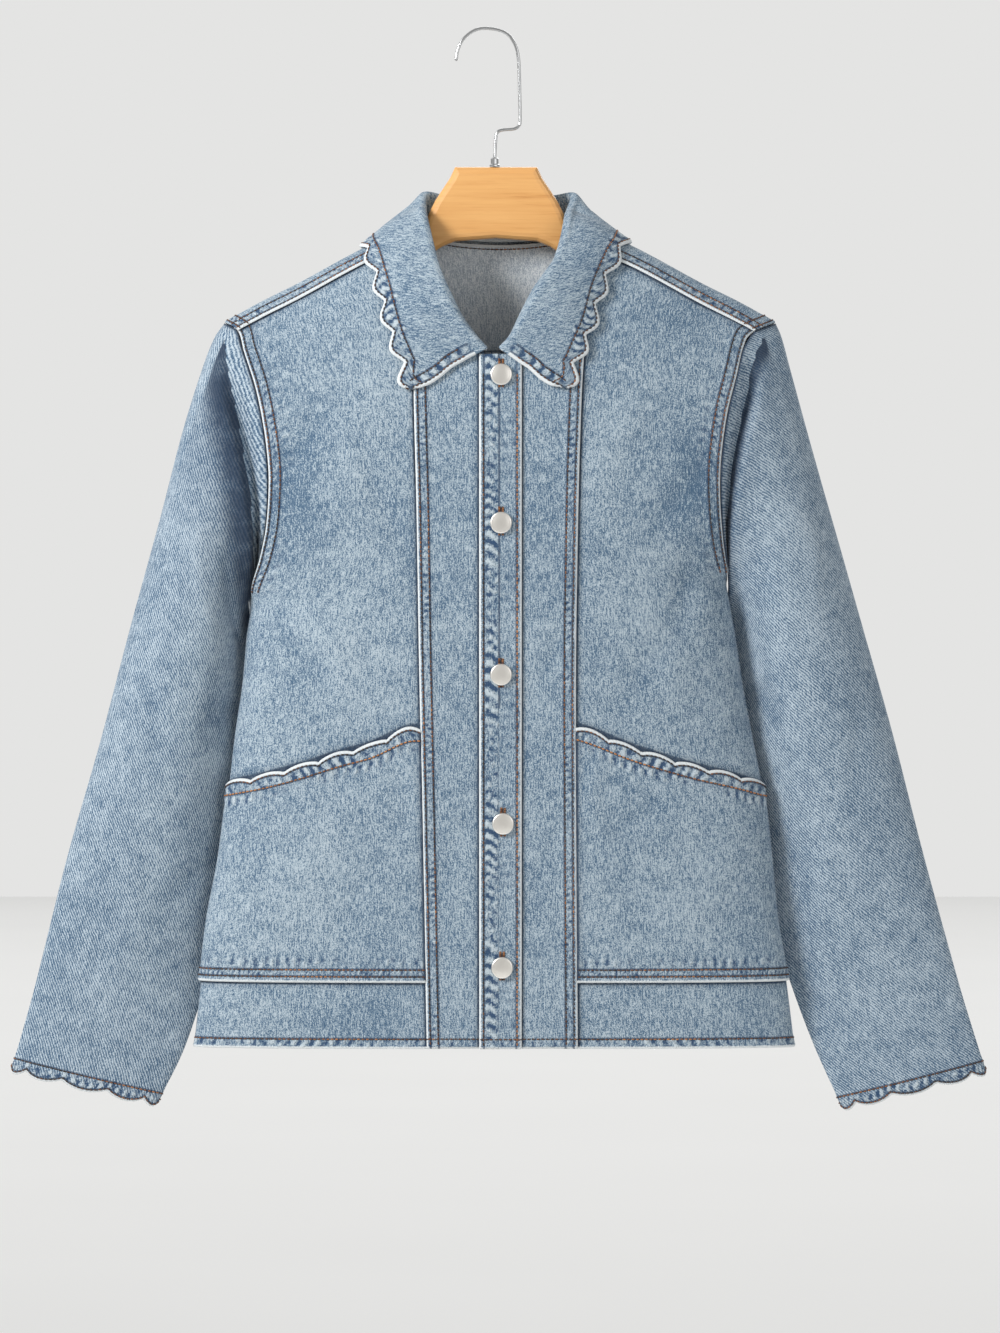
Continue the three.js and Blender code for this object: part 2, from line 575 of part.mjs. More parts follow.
// A patch pocket: its mouth slants up towards the strip and is scalloped.
const POCKET = {
  scallops: 6,
  scallopHeight: 3.4,
  rows: 5,
  layer: LAYER + GAP,
  evenColumns: 17,
  sideColumns: 5, // these match the columns of the side front
  mouthLevel: 225, // the height that its scallops are set out along
};
function pocket(side) {
  const sign = side === "left" ? -1 : 1;
  const sideStart = FRONT_COLUMNS - POCKET.sideColumns;
  const columns = POCKET.evenColumns + POCKET.sideColumns;
  const panelColumn = (z, k) =>
    acrossBody(side, z, panelInner(side, z), sideSeam(side, z, FRONT), k / FRONT_COLUMNS);
  const inner = (z) => princess[side](z) + GAP;
  const place = (z, i) => {
    if (i > POCKET.evenColumns) return panelColumn(z, sideStart + i - POCKET.evenColumns);
    return alongCloth(side, FRONT, z, inner(z), panelColumn(z, sideStart), i / POCKET.evenColumns);
  };
  return clothWall(columns, POCKET.rows, (i, j, face) => {
    const level = POCKET.mouthLevel;
    const x = place(level, i);
    const full = clothRun(side, FRONT, level, inner(level), sideSeam(side, level, FRONT));
    const turns = (POCKET.scallops * clothRun(side, FRONT, level, inner(level), x)) / full;
    const top = mouth[side](x) - POCKET.scallopHeight * (1 - scallop(turns));
    const z = lerp(POCKET_FOOT, top, j / POCKET.rows);
    return onTorso(sign * place(z, i), z, FRONT, wallOffset(POCKET.layer, face));
  });
}

// The strip between the princess seam and the placket, up to the neck.
const STRIP = {
  columns: 4,
  spread: 0.7, // how much closer together its columns are towards the princess seam
  corner: { inset: 0.8, drop: 3 }, // its upper corner, from the neck's side
  topRow: 6, // the least height of its top row
};
function neckHeight(x) {
  return NECK.z - NECK.frontDrop * Math.sqrt(Math.max(0, 1 - (x / NECK.half) ** 2));
}
function strip(side) {
  const sign = side === "left" ? -1 : 1;
  const inner = side === "left" ? -PLACKET_LEFT - STRIP_TUCK : PLACKET_RIGHT + GAP;
  const corner = NECK.half - STRIP.corner.inset;
  const seam = FRONT_SEAM_DROP[side] - YOKE_LAP;
  const levels = [0, BAND_TOP / 2];
  for (let j = 0; j <= panelRows(FRONT); j++)
    levels.push(bodyRow(side, FRONT, j, (z) => panelInner(side, z), () => seam).inZ);
  const highest = neckHeight(corner) - STRIP.corner.drop;
  const last = levels.findIndex((level) => level > highest - STRIP.topRow);
  levels[last] = highest;
  return clothWall(STRIP.columns, last, (i, j, face) => {
    const share = (i / STRIP.columns) ** STRIP.spread;
    const top = Math.min(neckHeight(lerp(inner, corner, share)), highest);
    const z = (top * levels[j]) / highest;
    return onTorso(sign * lerp(inner, princess[side](z), share), z, FRONT, wallOffset(LAYER, face));
  });
}

// The yoke: from its seam on the back, over the ridge, to its seam on the front. Between the
// shoulders its columns end along the neck.
const YOKE = {
  neckTurns: [180, 160, 140, 122, 107, 97, 90],
  lastTurn: 0.4, // of its last column at the neck, as a share of the way to its corner
  shoulderColumns: 6,
  neckFoot: 74,
};
const NECK_COLUMNS = YOKE.neckTurns.length + 1; // one more before the corner, and the corner
function neckPoint(turn) {
  const angle = degToRad(turn);
  const fall = turn <= 90 ? NECK.frontDrop : NECK.backDrop;
  const x = NECK.half * Math.sin(angle);
  const z = NECK.z - fall * Math.abs(Math.cos(angle));
  return { x, drop: (ridge(x) - z) * (turn <= 90 ? 1 : -1) };
}
function yokeCorner(side) {
  const step = 0.02;
  let turn = 90;
  while (neckPoint(turn).drop < FRONT_SEAM_DROP[side]) turn -= step;
  return turn;
}
const yokeCorners = { left: yokeCorner("left"), right: yokeCorner("right") };
function yokeColumn(side, k) {
  const behind = stops[side][BACK];
  const before = stops[side][FRONT];
  const inner = NECK_COLUMNS;
  const armBack = behind[BACK_YOKE_ROWS].x;
  const armFront = before[FRONT_YOKE_ROWS].x;
  if (k <= inner) {
    const corner = yokeCorners[side];
    const turn = [...YOKE.neckTurns, lerp(90, corner, YOKE.lastTurn), corner][k];
    const top = neckPoint(turn);
    const foot = (YOKE.neckFoot * k) / inner;
    return { foot, top: top.x, lean: leanOf(top.drop), bow: 0 };
  }
  const share = (k - inner) / YOKE.shoulderColumns;
  return {
    foot: lerp(YOKE.neckFoot, armBack, share),
    top: lerp(neckPoint(yokeCorners[side]).x, armFront, share),
    lean: leanOf(FRONT_SEAM_DROP[side]),
    bow: share * share,
  };
}
function yoke() {
  const half = NECK_COLUMNS + YOKE.shoulderColumns;
  const rows = FRONT_YOKE_ROWS + BACK_YOKE_ROWS;
  return clothWall(2 * half, rows, (i, j, face) => {
    const side = i < half ? "left" : "right";
    const sign = side === "left" ? -1 : 1;
    const column = yokeColumn(side, Math.abs(i - half));
    const behind = j <= BACK_YOKE_ROWS;
    const edge = stops[side][behind ? BACK : FRONT][Math.abs(j - BACK_YOKE_ROWS)];
    const edgeLean = leanOf(behind ? -edge.drop : edge.drop);
    const foot = leanOf(-BACK_SEAM.endDrop);
    const share = (edgeLean - foot) / (leanOf(FRONT_SEAM_DROP[side]) - foot);
    const straight = lerp(stops[side][BACK][BACK_YOKE_ROWS].x, stops[side][FRONT][FRONT_YOKE_ROWS].x, share);
    const x = lerp(column.foot, column.top, share) + (edge.x - straight) * column.bow;
    const lean = lerp(leanOf(-backSeamDrop(column.foot)), column.lean, share);
    return overShoulder(sign * x, dropOf(lean), wallOffset(LAYER, face));
  });
}

// The collar: a short stand up from the neck seam, the roll, and the fall down to its edge.
function collarCurves(rows) {
  const leaned = rows.map((row) => ({ ...row, lean: leanOf(row.edgeDrop) }));
  const names = ["turn", "rollX", "rollZ", "stand", "edgeX", "lean", "round"];
  return Object.fromEntries(names.map((name) => [name, curveOf(leaned, "at", name)]));
}
const collarShape = { left: collarCurves(COLLAR_LEFT), right: collarCurves(COLLAR_RIGHT) };
const COLLAR_STAND_ROWS = 4;
function collarPoint(share, j) {
  const side = share < 0.5 ? "left" : "right";
  const sign = side === "left" ? -1 : 1;
  const at = 10 * (share < 0.5 ? 2 * share : 2 - 2 * share);
  const shape = collarShape[side];
  const neck = neckPoint(shape.turn(at));
  const rise = COLLAR.seamRise * Math.sign(neck.drop) * Math.abs(Math.cos(degToRad(shape.turn(at))));
  const seam = overShoulder(sign * neck.x * COLLAR.seamIn, neck.drop - rise, LAYER);
  const roll = new THREE.Vector3(sign * shape.rollX(at), seam.y - shape.stand(at), shape.rollZ(at));
  const away = new THREE.Vector3(seam.x, seam.y + COLLAR.fan, 0).normalize();
  const round = shape.round(at);
  const standTop = roll.clone().addScaledVector(away, -round);
  standTop.z -= COLLAR.rollDrop * round;
  const fallTop = roll.clone().addScaledVector(away, round);
  fallTop.z -= COLLAR.rollDrop * round;
  if (j === 0) return seam;
  if (j === 1) return seam.clone().lerp(standTop, 0.5);
  if (j === 2) return standTop;
  if (j === 3) return roll;
  const k = (j - COLLAR_STAND_ROWS) / COLLAR.fallRows;
  const hem = overShoulder(sign * shape.edgeX(at), dropOf(shape.lean(at)), COLLAR.edgeLift);
  const wave = scallop(lerp(COLLAR.scallops.first, COLLAR.scallops.last, share)) - 0.5;
  const bump = COLLAR.scallopHeight * wave * Math.max(0, 2 * k - 1) ** 2;
  const down = hem.clone().sub(fallTop).normalize();
  const out = torsoNormal(hem.x, hem.y, hem.z, hem.y < 0 ? FRONT : BACK);
  const point = fallTop.clone().lerp(hem, k);
  point.addScaledVector(out, COLLAR.bulge * Math.sin(Math.PI * k) * smoothstep(at, 0, 3));
  point.addScaledVector(down, bump);
  const end = Math.min(share, 1 - share) * COLLAR.steps;
  const endWave = scallop(k * COLLAR.endScallops) - COLLAR.endRest;
  if (k > 0) point.z -= COLLAR.endHeight * endWave * Math.max(0, 1 - end);
  return point;
}
function collar() {
  const last = COLLAR_STAND_ROWS + COLLAR.fallRows;
  return clothWall(COLLAR.steps, last, (i, j, face) => {
    const share = i / COLLAR.steps;
    const step = 0.25 / COLLAR.steps;
    const before = Math.max(share - step, 0);
    const after = Math.min(share + step, 1);
    const along = collarPoint(after, j).sub(collarPoint(before, j));
    const down = collarPoint(share, Math.min(j + 1, last)).sub(collarPoint(share, Math.max(j - 1, 0)));
    const normal = down.cross(along).normalize();
    const point = collarPoint(share, j);
    if (j === 0) {
      const seam = torsoNormal(point.x, point.y, point.z, point.y < 0 ? FRONT : BACK);
      normal.copy(seam.dot(normal) < 0 ? seam.negate() : seam);
    }
    return point.addScaledVector(normal, wallOffset(0, face, COLLAR_CLOTH));
  });
}

// Sleeves
function sleeveCurves(rows) {
  const names = Object.keys(rows[0]).filter((name) => name !== "at");
  return Object.fromEntries(names.map((name) => [name, curveOf(rows, "at", name)]));
}
const sleeveShape = { left: sleeveCurves(SLEEVE_LEFT), right: sleeveCurves(SLEEVE_RIGHT) };

// A point of a sleeve's section, before it takes the shape of the armhole. turn runs from the outer
// edge (0) over the front to the inner edge (1) and over the back to the outer edge again (2).
function sectionPoint(side, at, turn) {
  const shape = sleeveShape[side];
  const before = turn <= 1;
  const share = (1 + Math.cos(Math.PI * (before ? turn : 2 - turn))) / 2;
  const hump = Math.sin(Math.PI * share);
  const flank = 1 - smoothstep(share, SLEEVE.flank.low, SLEEVE.flank.high);
  const power = before ? lerp(SLEEVE.even, shape.round(at), flank) : SLEEVE.even;
  const line = lerp(shape.inY(at), shape.outY(at), share);
  const bulge = (before ? -shape.front(at) : shape.back(at)) * Math.max(0, hump) ** power;
  return new THREE.Vector3(
    lerp(shape.inX(at), shape.outX(at), share),
    line + bulge,
    lerp(shape.inZ(at), shape.outZ(at), share),
  );
}

// A point of the armhole that the sleeve starts at, just outside the body's edge.
function armholePoint(side, step) {
  const before = step <= SLEEVE.half;
  const k = before ? step : 2 * SLEEVE.half - step;
  const face = before ? FRONT : BACK;
  const stop = stops[side][face][k];
  const nearUnderarm = smoothstep(k, SLEEVE.half - 4, SLEEVE.half);
  const point = onTorso(stop.x, stop.z, face, 0.5 * LAYER * (1 - nearUnderarm));
  point.x += SLEEVE.clear + SLEEVE.underarmClear * nearUnderarm;
  return point;
}

function sleevePoint(side, at, step) {
  const turn = step / SLEEVE.half;
  const low = Math.floor(step);
  const between = step - low;
  const ring = armholePoint(side, low);
  if (between > 0) ring.lerp(armholePoint(side, low + 1), between);
  const left = Math.max(0, 1 - Math.sin((Math.PI / 2) * Math.min(1, at / SLEEVE.blend)));
  const point = sectionPoint(side, at, turn);
  point.addScaledVector(ring.sub(sectionPoint(side, 0, turn)), left);
  const fold = SLEEVE_FOLD[side];
  const { start, stop } = FOLD_REACH;
  const inFold = smoothstep(turn, start.low, start.high) * (1 - smoothstep(turn, stop.low, stop.high));
  point.y += fold.depth * Math.exp(-(((at - fold.at) / fold.half) ** 2)) * inFold;
  return point;
}

function sleeve(side) {
  const sign = side === "left" ? -1 : 1;
  const around = 2 * SLEEVE.half;
  const rows = SLEEVE_STATIONS.length - 1;
  return clothWall(
    around,
    rows,
    (i, j, face) => {
      const bump = j === rows ? SLEEVE.scallopHeight * scallop((i * SLEEVE.scallops) / around) : 0;
      const at = SLEEVE_STATIONS[j];
      const small = 0.004;
      const low = Math.max(at - small, 0);
      const along = sleevePoint(side, Math.min(at + small, 1), i).sub(sleevePoint(side, low, i));
      const next = sleevePoint(side, at, (i + 0.5) % around);
      const round = next.sub(sleevePoint(side, at, (i - 0.5 + around) % around));
      const normal = along.clone().cross(round).normalize();
      const point = sleevePoint(side, at, i);
      point.addScaledVector(along.normalize(), bump);
      point.addScaledVector(normal, wallOffset(0, face));
      point.x *= sign;
      return point;
    },
    true,
  );
}

// Plackets, with their buttonholes and shank holes.
const PLACKET = { columns: 3, rows: 16 };
function placketWall(left, right, layer) {
  return clothWall(PLACKET.columns, PLACKET.rows, (i, j, face) => {
    const z = (PLACKET_TOP * j) / PLACKET.rows;
    return onTorso(lerp(left, right, i / PLACKET.columns), z, FRONT, wallOffset(layer, face));
  });
}
function solidOf(geometry) {
  const bare = geometry.clone();
  bare.deleteAttribute("normal");
  bare.deleteAttribute("uv");
  const merged = mergeVertices(bare, 1e-4);
  return new wasm.Manifold(
    new wasm.Mesh({
      numProp: 3,
      vertProperties: merged.getAttribute("position").array,
      triVerts: new Uint32Array(merged.index.array),
    }),
  );
}
function geometryOf(solid) {
  const mesh = solid.getMesh();
  const geometry = new THREE.BufferGeometry();
  geometry.setAttribute("position", new THREE.Float32BufferAttribute(mesh.vertProperties, 3));
  geometry.setIndex([...mesh.triVerts]);
  return geometry;
}
const HOLE = { shank: 2.7, slit: 0.8, above: 12, below: 9.5, start: -6, depth: 16, facets: 3 };
function shankHole() {
  const shape = new THREE.Shape();
  shape.absarc(0, 0, HOLE.shank, 0, 2 * Math.PI);
  return shape;
}
function buttonhole() {
  const reach = Math.sqrt(HOLE.shank ** 2 - HOLE.slit ** 2);
  const start = Math.atan2(reach, HOLE.slit);
  const shape = new THREE.Shape();
  shape.moveTo(HOLE.slit, reach);
  shape.lineTo(HOLE.slit, HOLE.above);
  shape.lineTo(-HOLE.slit, HOLE.above);
  shape.lineTo(-HOLE.slit, reach);
  shape.absarc(0, 0, HOLE.shank, Math.PI - start, Math.PI + start);
  shape.lineTo(-HOLE.slit, -HOLE.below);
  shape.lineTo(HOLE.slit, -HOLE.below);
  shape.lineTo(HOLE.slit, -reach);
  shape.absarc(0, 0, HOLE.shank, -start, start);
  return shape;
}
// Turns a piece modelled along +Z so that it stands out of the front at a button's place.
function atButton(geometry, place) {
  const foot = onTorso(place.x, place.z, FRONT);
  const out = torsoNormal(foot.x, foot.y, foot.z, FRONT);
  const up = new THREE.Vector3(0, 0, 1).addScaledVector(out, -out.z).normalize();
  const across = up.clone().cross(out);
  return geometry.applyMatrix4(new THREE.Matrix4().makeBasis(across, up, out).setPosition(foot));
}
function pierced(wall, holeShape) {
  let solid = solidOf(wall);
  for (const place of BUTTON_PLACES) {
    const punch = new THREE.ExtrudeGeometry(holeShape(), {
      depth: HOLE.depth,
      bevelEnabled: false,
      curveSegments: HOLE.facets,
    });
    punch.translate(0, 0, HOLE.start);
    solid = solid.subtract(solidOf(atButton(punch, place)));
  }
  return geometryOf(solid);
}

// A tack button: cap, shank, and the rivet disc behind the under placket.
function button(place) {
  const underside = 2 * LAYER + CLOTH / 2 + 1.5 * GAP;
  const inside = LAYER - CLOTH / 2 - 1.5 * GAP;
  const { cap, stem, disc, discThickness, chamfer, rim, crown } = BUTTON;
  const profile = [
    [0, inside - discThickness],
    [disc, inside - discThickness],
    [disc, inside],
    [stem, inside],
    [stem, underside],
    [cap - chamfer, underside],
    [cap, underside + rim.low],
    [cap, underside + rim.high],
    [cap - crown.inset, underside + crown.low],
    [0, underside + crown.high],
  ];
  const points = profile.map(([radius, height]) => new THREE.Vector2(radius, height));
  const lathe = new THREE.LatheGeometry(points, BUTTON.facets);
  lathe.rotateX(Math.PI / 2);
  return atButton(lathe, place);
}

// The hanger: a plate with round edges, cut to the outline of its neck and arms.
function hangerBody() {
  const arm = HANGER_ARM.map(({ x, height }) => {
    const top = ridge(x) - HANGER.under;
    return { x, top, foot: top - height };
  });
  const tip = { x: HANGER_TIP.x, z: ridge(HANGER_TIP.x) - HANGER_TIP.drop };
  const halfOutline = (sign) => {
    const neck = HANGER_NECK.map((row) => ({ ...row, x: row.x + sign * HANGER_MIDDLE }));
    const rows = [...neck, ...arm];
    const over = rows.map((row) => new THREE.Vector2(sign * row.x, row.top));
    const under = rows.map((row) => new THREE.Vector2(sign * row.x, row.foot)).reverse();
    return [...over, new THREE.Vector2(sign * tip.x, tip.z), ...under];
  };
  const arch = new THREE.Vector2(HANGER_MIDDLE, HANGER_ARCH);
  const outline = [...halfOutline(1), arch, ...halfOutline(-1).reverse()];
  const edge = HANGER.edge * HANGER.thickness;
  const flat = HANGER.thickness - 2 * edge;
  const plate = new THREE.ExtrudeGeometry(new THREE.Shape(outline), {
    depth: flat,
    bevelThickness: edge,
    bevelSize: edge,
    bevelOffset: -edge,
    bevelSegments: HANGER.edgeSteps,
  });
  plate.translate(0, 0, -flat / 2);
  plate.rotateX(Math.PI / 2);
  return plate;
}

function hangerHook() {
  const path = new THREE.CatmullRomCurve3(HOOK_PATH.map(({ x, z }) => new THREE.Vector3(x, 0, z)));
  const round = new THREE.Shape();
  round.absarc(0, 0, WIRE.radius, 0, 2 * Math.PI);
  return new THREE.ExtrudeGeometry(round, { steps: WIRE.steps, curveSegments: 2, extrudePath: path });
}

// The ferrule that the wire turns in, from its flange up.
const FERRULE = [
  { radius: 4, height: 0 },
  { radius: 4, height: 1.2 },
  { radius: 3.1, height: 2 },
  { radius: 3.1, height: 6 },
  { radius: 2.4, height: 6.8 },
];
const FERRULE_CLEAR = 0.45; // between the wire and its bore
const FERRULE_ASIDE = 0.1; // of its axis from the wire's foot, as the wire leans a little
const FERRULE_FACETS = 14;
function hookFerrule() {
  const foot = HANGER_NECK[0].top + GAP;
  const bore = WIRE.radius + FERRULE_CLEAR;
  const inside = [FERRULE.at(-1), FERRULE[0]].map(({ height }) => ({ radius: bore, height }));
  const profile = [inside[1], ...FERRULE, ...inside];
  const points = profile.map(({ radius, height }) => new THREE.Vector2(radius, height));
  const lathe = new THREE.LatheGeometry(points, FERRULE_FACETS);
  lathe.rotateX(Math.PI / 2);
  lathe.translate(HOOK_PATH[0].x + FERRULE_ASIDE, 0, foot);
  return lathe;
}

const denim = (colour) => new THREE.MeshStandardMaterial({ color: colour, roughness: 0.92, metalness: 0 });
const metal = (colour) => new THREE.MeshStandardMaterial({ color: colour, roughness: 0.35, metalness: 1 });

const jacket = new THREE.Group();
function sew(name, geometry, material) {
  const piece = new THREE.Mesh(geometry, material);
  piece.name = name;
  jacket.add(piece);
}

for (const side of ["left", "right"]) {
  sew(`front_panel_${side}`, frontPanel(side), denim("#8FA6BD"));
  sew(`front_strip_${side}`, strip(side), denim("#93AAC0"));
  sew(`hem_band_${side}`, hemBand(side), denim("#8AA1B8"));
  sew(`pocket_${side}`, pocket(side), denim("#93AAC0"));
  sew(`sleeve_${side}`, sleeve(side), denim("#86A0BC"));
}
sew("back_panel", backPanel(), denim("#8AA2BC"));
sew("hem_band_back", backBand(), denim("#869EB6"));
sew("yoke", yoke(), denim("#8FA6BD"));
sew("collar", collar(), denim("#9BB0C4"));
const placketOver = placketWall(PLACKET_LEFT, PLACKET_RIGHT, 2 * LAYER);
const placketUnder = placketWall(PLACKET_LEFT + STRIP_TUCK + GAP, PLACKET_RIGHT, LAYER);
sew("placket_top", pierced(placketOver, buttonhole), denim("#93AAC0"));
sew("placket_under", pierced(placketUnder, shankHole), denim("#7F97B0"));
BUTTON_PLACES.forEach((place, i) => sew(`button_${i + 1}`, button(place), metal("#D9D5CC")));
const wood = new THREE.MeshStandardMaterial({ color: "#E2AD69", roughness: 0.45, metalness: 0 });
sew("hanger_body", hangerBody(), wood);
sew("hanger_hook", hangerHook(), metal("#C9CBCD"));
sew("hook_ferrule", hookFerrule(), metal("#C9CBCD"));

jacket.position.set(-CROWN.x, 0, -CROWN.z);
const part = new THREE.Group();
part.add(jacket);

export default part;
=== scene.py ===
import math

import bpy
import numpy as np
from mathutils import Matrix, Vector


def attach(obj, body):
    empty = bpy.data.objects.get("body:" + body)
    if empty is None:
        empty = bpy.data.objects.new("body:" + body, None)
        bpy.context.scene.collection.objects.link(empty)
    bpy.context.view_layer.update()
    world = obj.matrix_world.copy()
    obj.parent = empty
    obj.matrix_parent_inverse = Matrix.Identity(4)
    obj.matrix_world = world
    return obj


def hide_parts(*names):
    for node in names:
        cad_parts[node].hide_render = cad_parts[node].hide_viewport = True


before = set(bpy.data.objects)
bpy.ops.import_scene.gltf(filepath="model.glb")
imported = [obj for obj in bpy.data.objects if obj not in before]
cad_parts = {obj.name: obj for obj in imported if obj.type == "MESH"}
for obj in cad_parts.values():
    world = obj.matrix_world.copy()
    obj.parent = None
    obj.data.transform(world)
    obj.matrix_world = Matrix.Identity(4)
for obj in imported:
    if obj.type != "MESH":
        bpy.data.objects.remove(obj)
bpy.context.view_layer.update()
random = np.random.default_rng(7)

CLOTH = 1.4
COLLAR_CLOTH = 2.4
GAP = 0.3
LAYER = CLOTH + GAP
FRONT, BACK = -1, 1
SIDE_NAMES = ("left", "right")
SIGN = {"left": -1, "right": 1}

BAND_TOP = 58
POCKET_FOOT = 51.5
PLACKET_TOP = 537
CROWN = (-9.4, 0, 792.4)
PLACKET_LEFT, PLACKET_RIGHT = -15.6, 16.4
STRIP_TUCK = 3.6
PANEL_TUCK = 10
SHOULDER_ROUND = 200
NECK_HALF, NECK_Z, NECK_FRONT, NECK_BACK = 66, 637, 100, 11
FRONT_SEAM_DROP = {"left": 12, "right": 16}
YOKE_LAP = 5
# How far the rows of stitches are from each edge.
ARMHOLE_ROWS, YOKE_ROWS, STRIP_ROWS = (2.4, 9.6), (2.6, 9.0), (2.6, 8.9)
BACK_FOOT_ROWS, POCKET_FOOT_ROWS = (2.6, 9.4), (4.6, 9.9)
HEM_ROW, EDGE_ROW, CUFF_ROW, COLLAR_END_ROW = 7.4, 2.7, 1.9, 9.8
PLACKET_ROW, PLACKET_LINE, PLACKET_FREE_ROW = 3.2, 15.0, 3.6
SCALLOP_HEIGHTS = {"pocket": 3.4, "collar": 7, "cuff": 5.2}
COLLAR_LIFT = 4.6  # of its edge off the body
COLLAR_SCALLOPS = (0.3, 14.7)  # from tip to tip, with a lobe standing out at each tip
LOBE = 12  # radius of the lobe at each tip of the collar
TIP_REACH, TIP_DROP, TIP_IN = 26, 8.5, 3  # round each tip the cloth is drawn down and inwards


def rows(names, *values):
    """A table with named columns."""
    return {name: np.array(column, float) for name, column in zip(names.split(), zip(*values))}


SIDES = rows(
    "z left right",
    (0, 238, 229), (55, 232, 222), (100, 226.5, 214.5), (145, 218, 210), (200, 211, 204),
    (243, 206, 196), (280, 200.5, 189), (320, 197, 183), (348, 193.5, 178), (364, 199, 176.5),
    (400, 214, 193), (450, 236, 222), (500, 256, 246), (566, 280, 280),
)
DEPTHS = rows(
    "z front back",
    (0, 27, 23), (100, 32, 27), (200, 37, 30), (300, 42, 33), (400, 45, 36), (660, 45, 36),
)
RIDGE = rows(
    "x z",
    (0, 664), (40, 650), (66, 637), (104, 621), (156, 593), (187, 577.5), (213, 562.6), (230, 551),
)
ARMHOLES = {
    "left": rows(
        "z front back",
        (348, 193.5, 193.5), (360, 192, 193), (379, 186, 190), (405, 180.6, 187), (441, 178.6, 187),
        (474, 181.4, 190), (511, 188.7, 196), (541, 198.5, 202), (557, 203.5, 206.5), (562.6, 213, 213),
    ),
    "right": rows(
        "z front back",
        (364, 176.5, 176.5), (374, 175.5, 177), (395, 172.4, 177.5), (426, 170, 179), (457, 170.8, 182),
        (492, 175.5, 188), (523, 183.3, 194), (544, 188.5, 200), (555, 195, 205), (562.6, 213, 213),
    ),
}
PRINCESS = rows(
    "z left right",
    (0, 56.2, 59.8), (200, 60, 58.5), (300, 62, 58.2), (420, 64, 60), (505, 66, 62.5), (560, 66, 65.5),
    (640, 66, 66),
)
POCKET_MOUTHS = rows(
    "x left right",
    (56, 250, 252), (72, 249, 247), (99, 237, 236), (126, 229.5, 227), (150, 221.5, 220),
    (180, 213, 212.5), (204, 207.5, 204.5), (215, 204, 202),
)
COLLAR_ROWS = {
    "left": rows(
        "at turn rollX rollZ stand edgeX edgeDrop round",
        (0, 9.6, 11, 542.6, 2, 76, 119, 2.3), (1, 18, 20, 552.5, 4, 77, 102, 2.7),
        (2, 30, 31, 567, 6, 83, 83.5, 2.8), (3, 44, 40, 584, 8, 88, 64, 3),
        (4, 57, 47.5, 600, 8, 92, 45.5, 3.2), (5, 68, 53, 616, 7, 96.5, 27.5, 3.4),
        (6, 78, 57.5, 634, 5, 101, 10.5, 3.4), (7, 89, 61.5, 654, 1, 104, 0.5, 3.4),
        (8, 108, 59.5, 666, -3, 96, -14, 3.4), (9, 138, 42, 664, -5, 68, -34, 3.4),
        (10, 180, 0, 660, -7, 0, -64, 3.4),
    ),
    "right": rows(
        "at turn rollX rollZ stand edgeX edgeDrop round",
        (0, 2, 0.5, 542.6, 2, 57, 127.5, 2.4), (1, 11, 8.5, 551.5, 4, 60, 110, 2.7),
        (2, 24, 17, 567, 6, 66, 92, 2.8), (3, 41, 28, 587, 8, 72, 73.5, 3),
        (4, 56, 38, 601.5, 8, 76.5, 54, 3.2), (5, 68, 45.5, 613, 7, 82.5, 35, 3.4),
        (6, 78, 51, 630, 5, 90, 16, 3.4), (7, 89, 55, 650.5, 1, 97, 1, 3.4),
        (8, 108, 58.5, 665, -3, 92, -14, 3.4), (9, 138, 42, 664, -5, 68, -34, 3.4),
        (10, 180, 0, 660, -7, 0, -64, 3.4),
    ),
}
SLEEVES = {
    "left": rows(
        "at outX outZ outY inX inZ inY front back round",
        (0, 213, 562, 0, 195.5, 348, 0, 33, 27, 1), (0.03, 221, 551, 0, 195, 341, 4, 34, 27, 1),
        (0.08, 231, 527, 0, 194, 331, 9, 36, 28, 1), (0.16, 247, 478, 1, 193.5, 312, 18, 38, 27, 1.4),
        (0.28, 265.5, 408, 2, 190, 283, 24, 39, 25, 1.7), (0.42, 287.5, 328, 3, 192, 235, 26, 37, 22, 1.6),
        (0.58, 311.5, 237, 4, 201, 172, 24, 31, 18, 1.3), (0.75, 337.5, 146, 4, 213, 105, 20, 23, 14, 1),
        (0.9, 362.5, 46, 4, 235, 34, 14, 14, 11, 0.8), (0.95, 371, 15, 4, 249, -6, 11, 11, 10, 0.65),
        (1, 380, -16, 4, 267.5, -43, 8, 9, 9, 0.6),
    ),
    "right": rows(
        "at outX outZ outY inX inZ inY front back round",
        (0, 213, 562, 0, 178.5, 364, 0, 33, 27, 1), (0.03, 218, 551, 0, 178.5, 356, 4, 34, 27, 1),
        (0.08, 225.5, 525, 0, 178, 345, 9, 36, 28, 1), (0.16, 241.5, 469, 1, 178, 322, 19, 39, 27, 1.4),
        (0.28, 261.5, 400, 2, 177, 290, 25, 42, 25, 1.6), (0.42, 282, 328, 3, 183, 240, 26, 40, 22, 1.5),
        (0.58, 306, 243, 4, 194, 175, 24, 33, 18, 1.3), (0.75, 330.5, 147, 4, 209, 108, 20, 24, 14, 1),
        (0.9, 358, 47, 4, 231, 40, 14, 14, 11, 0.8), (0.95, 368, 14, 4, 247, -2, 11, 11, 10, 0.65),
        (1, 378, -18, 4, 267, -46, 8, 9, 9, 0.6),
    ),
}
SLEEVE_FOLD = {"left": (0.046, 14, 0.02), "right": (0.036, 12, 0.02)}
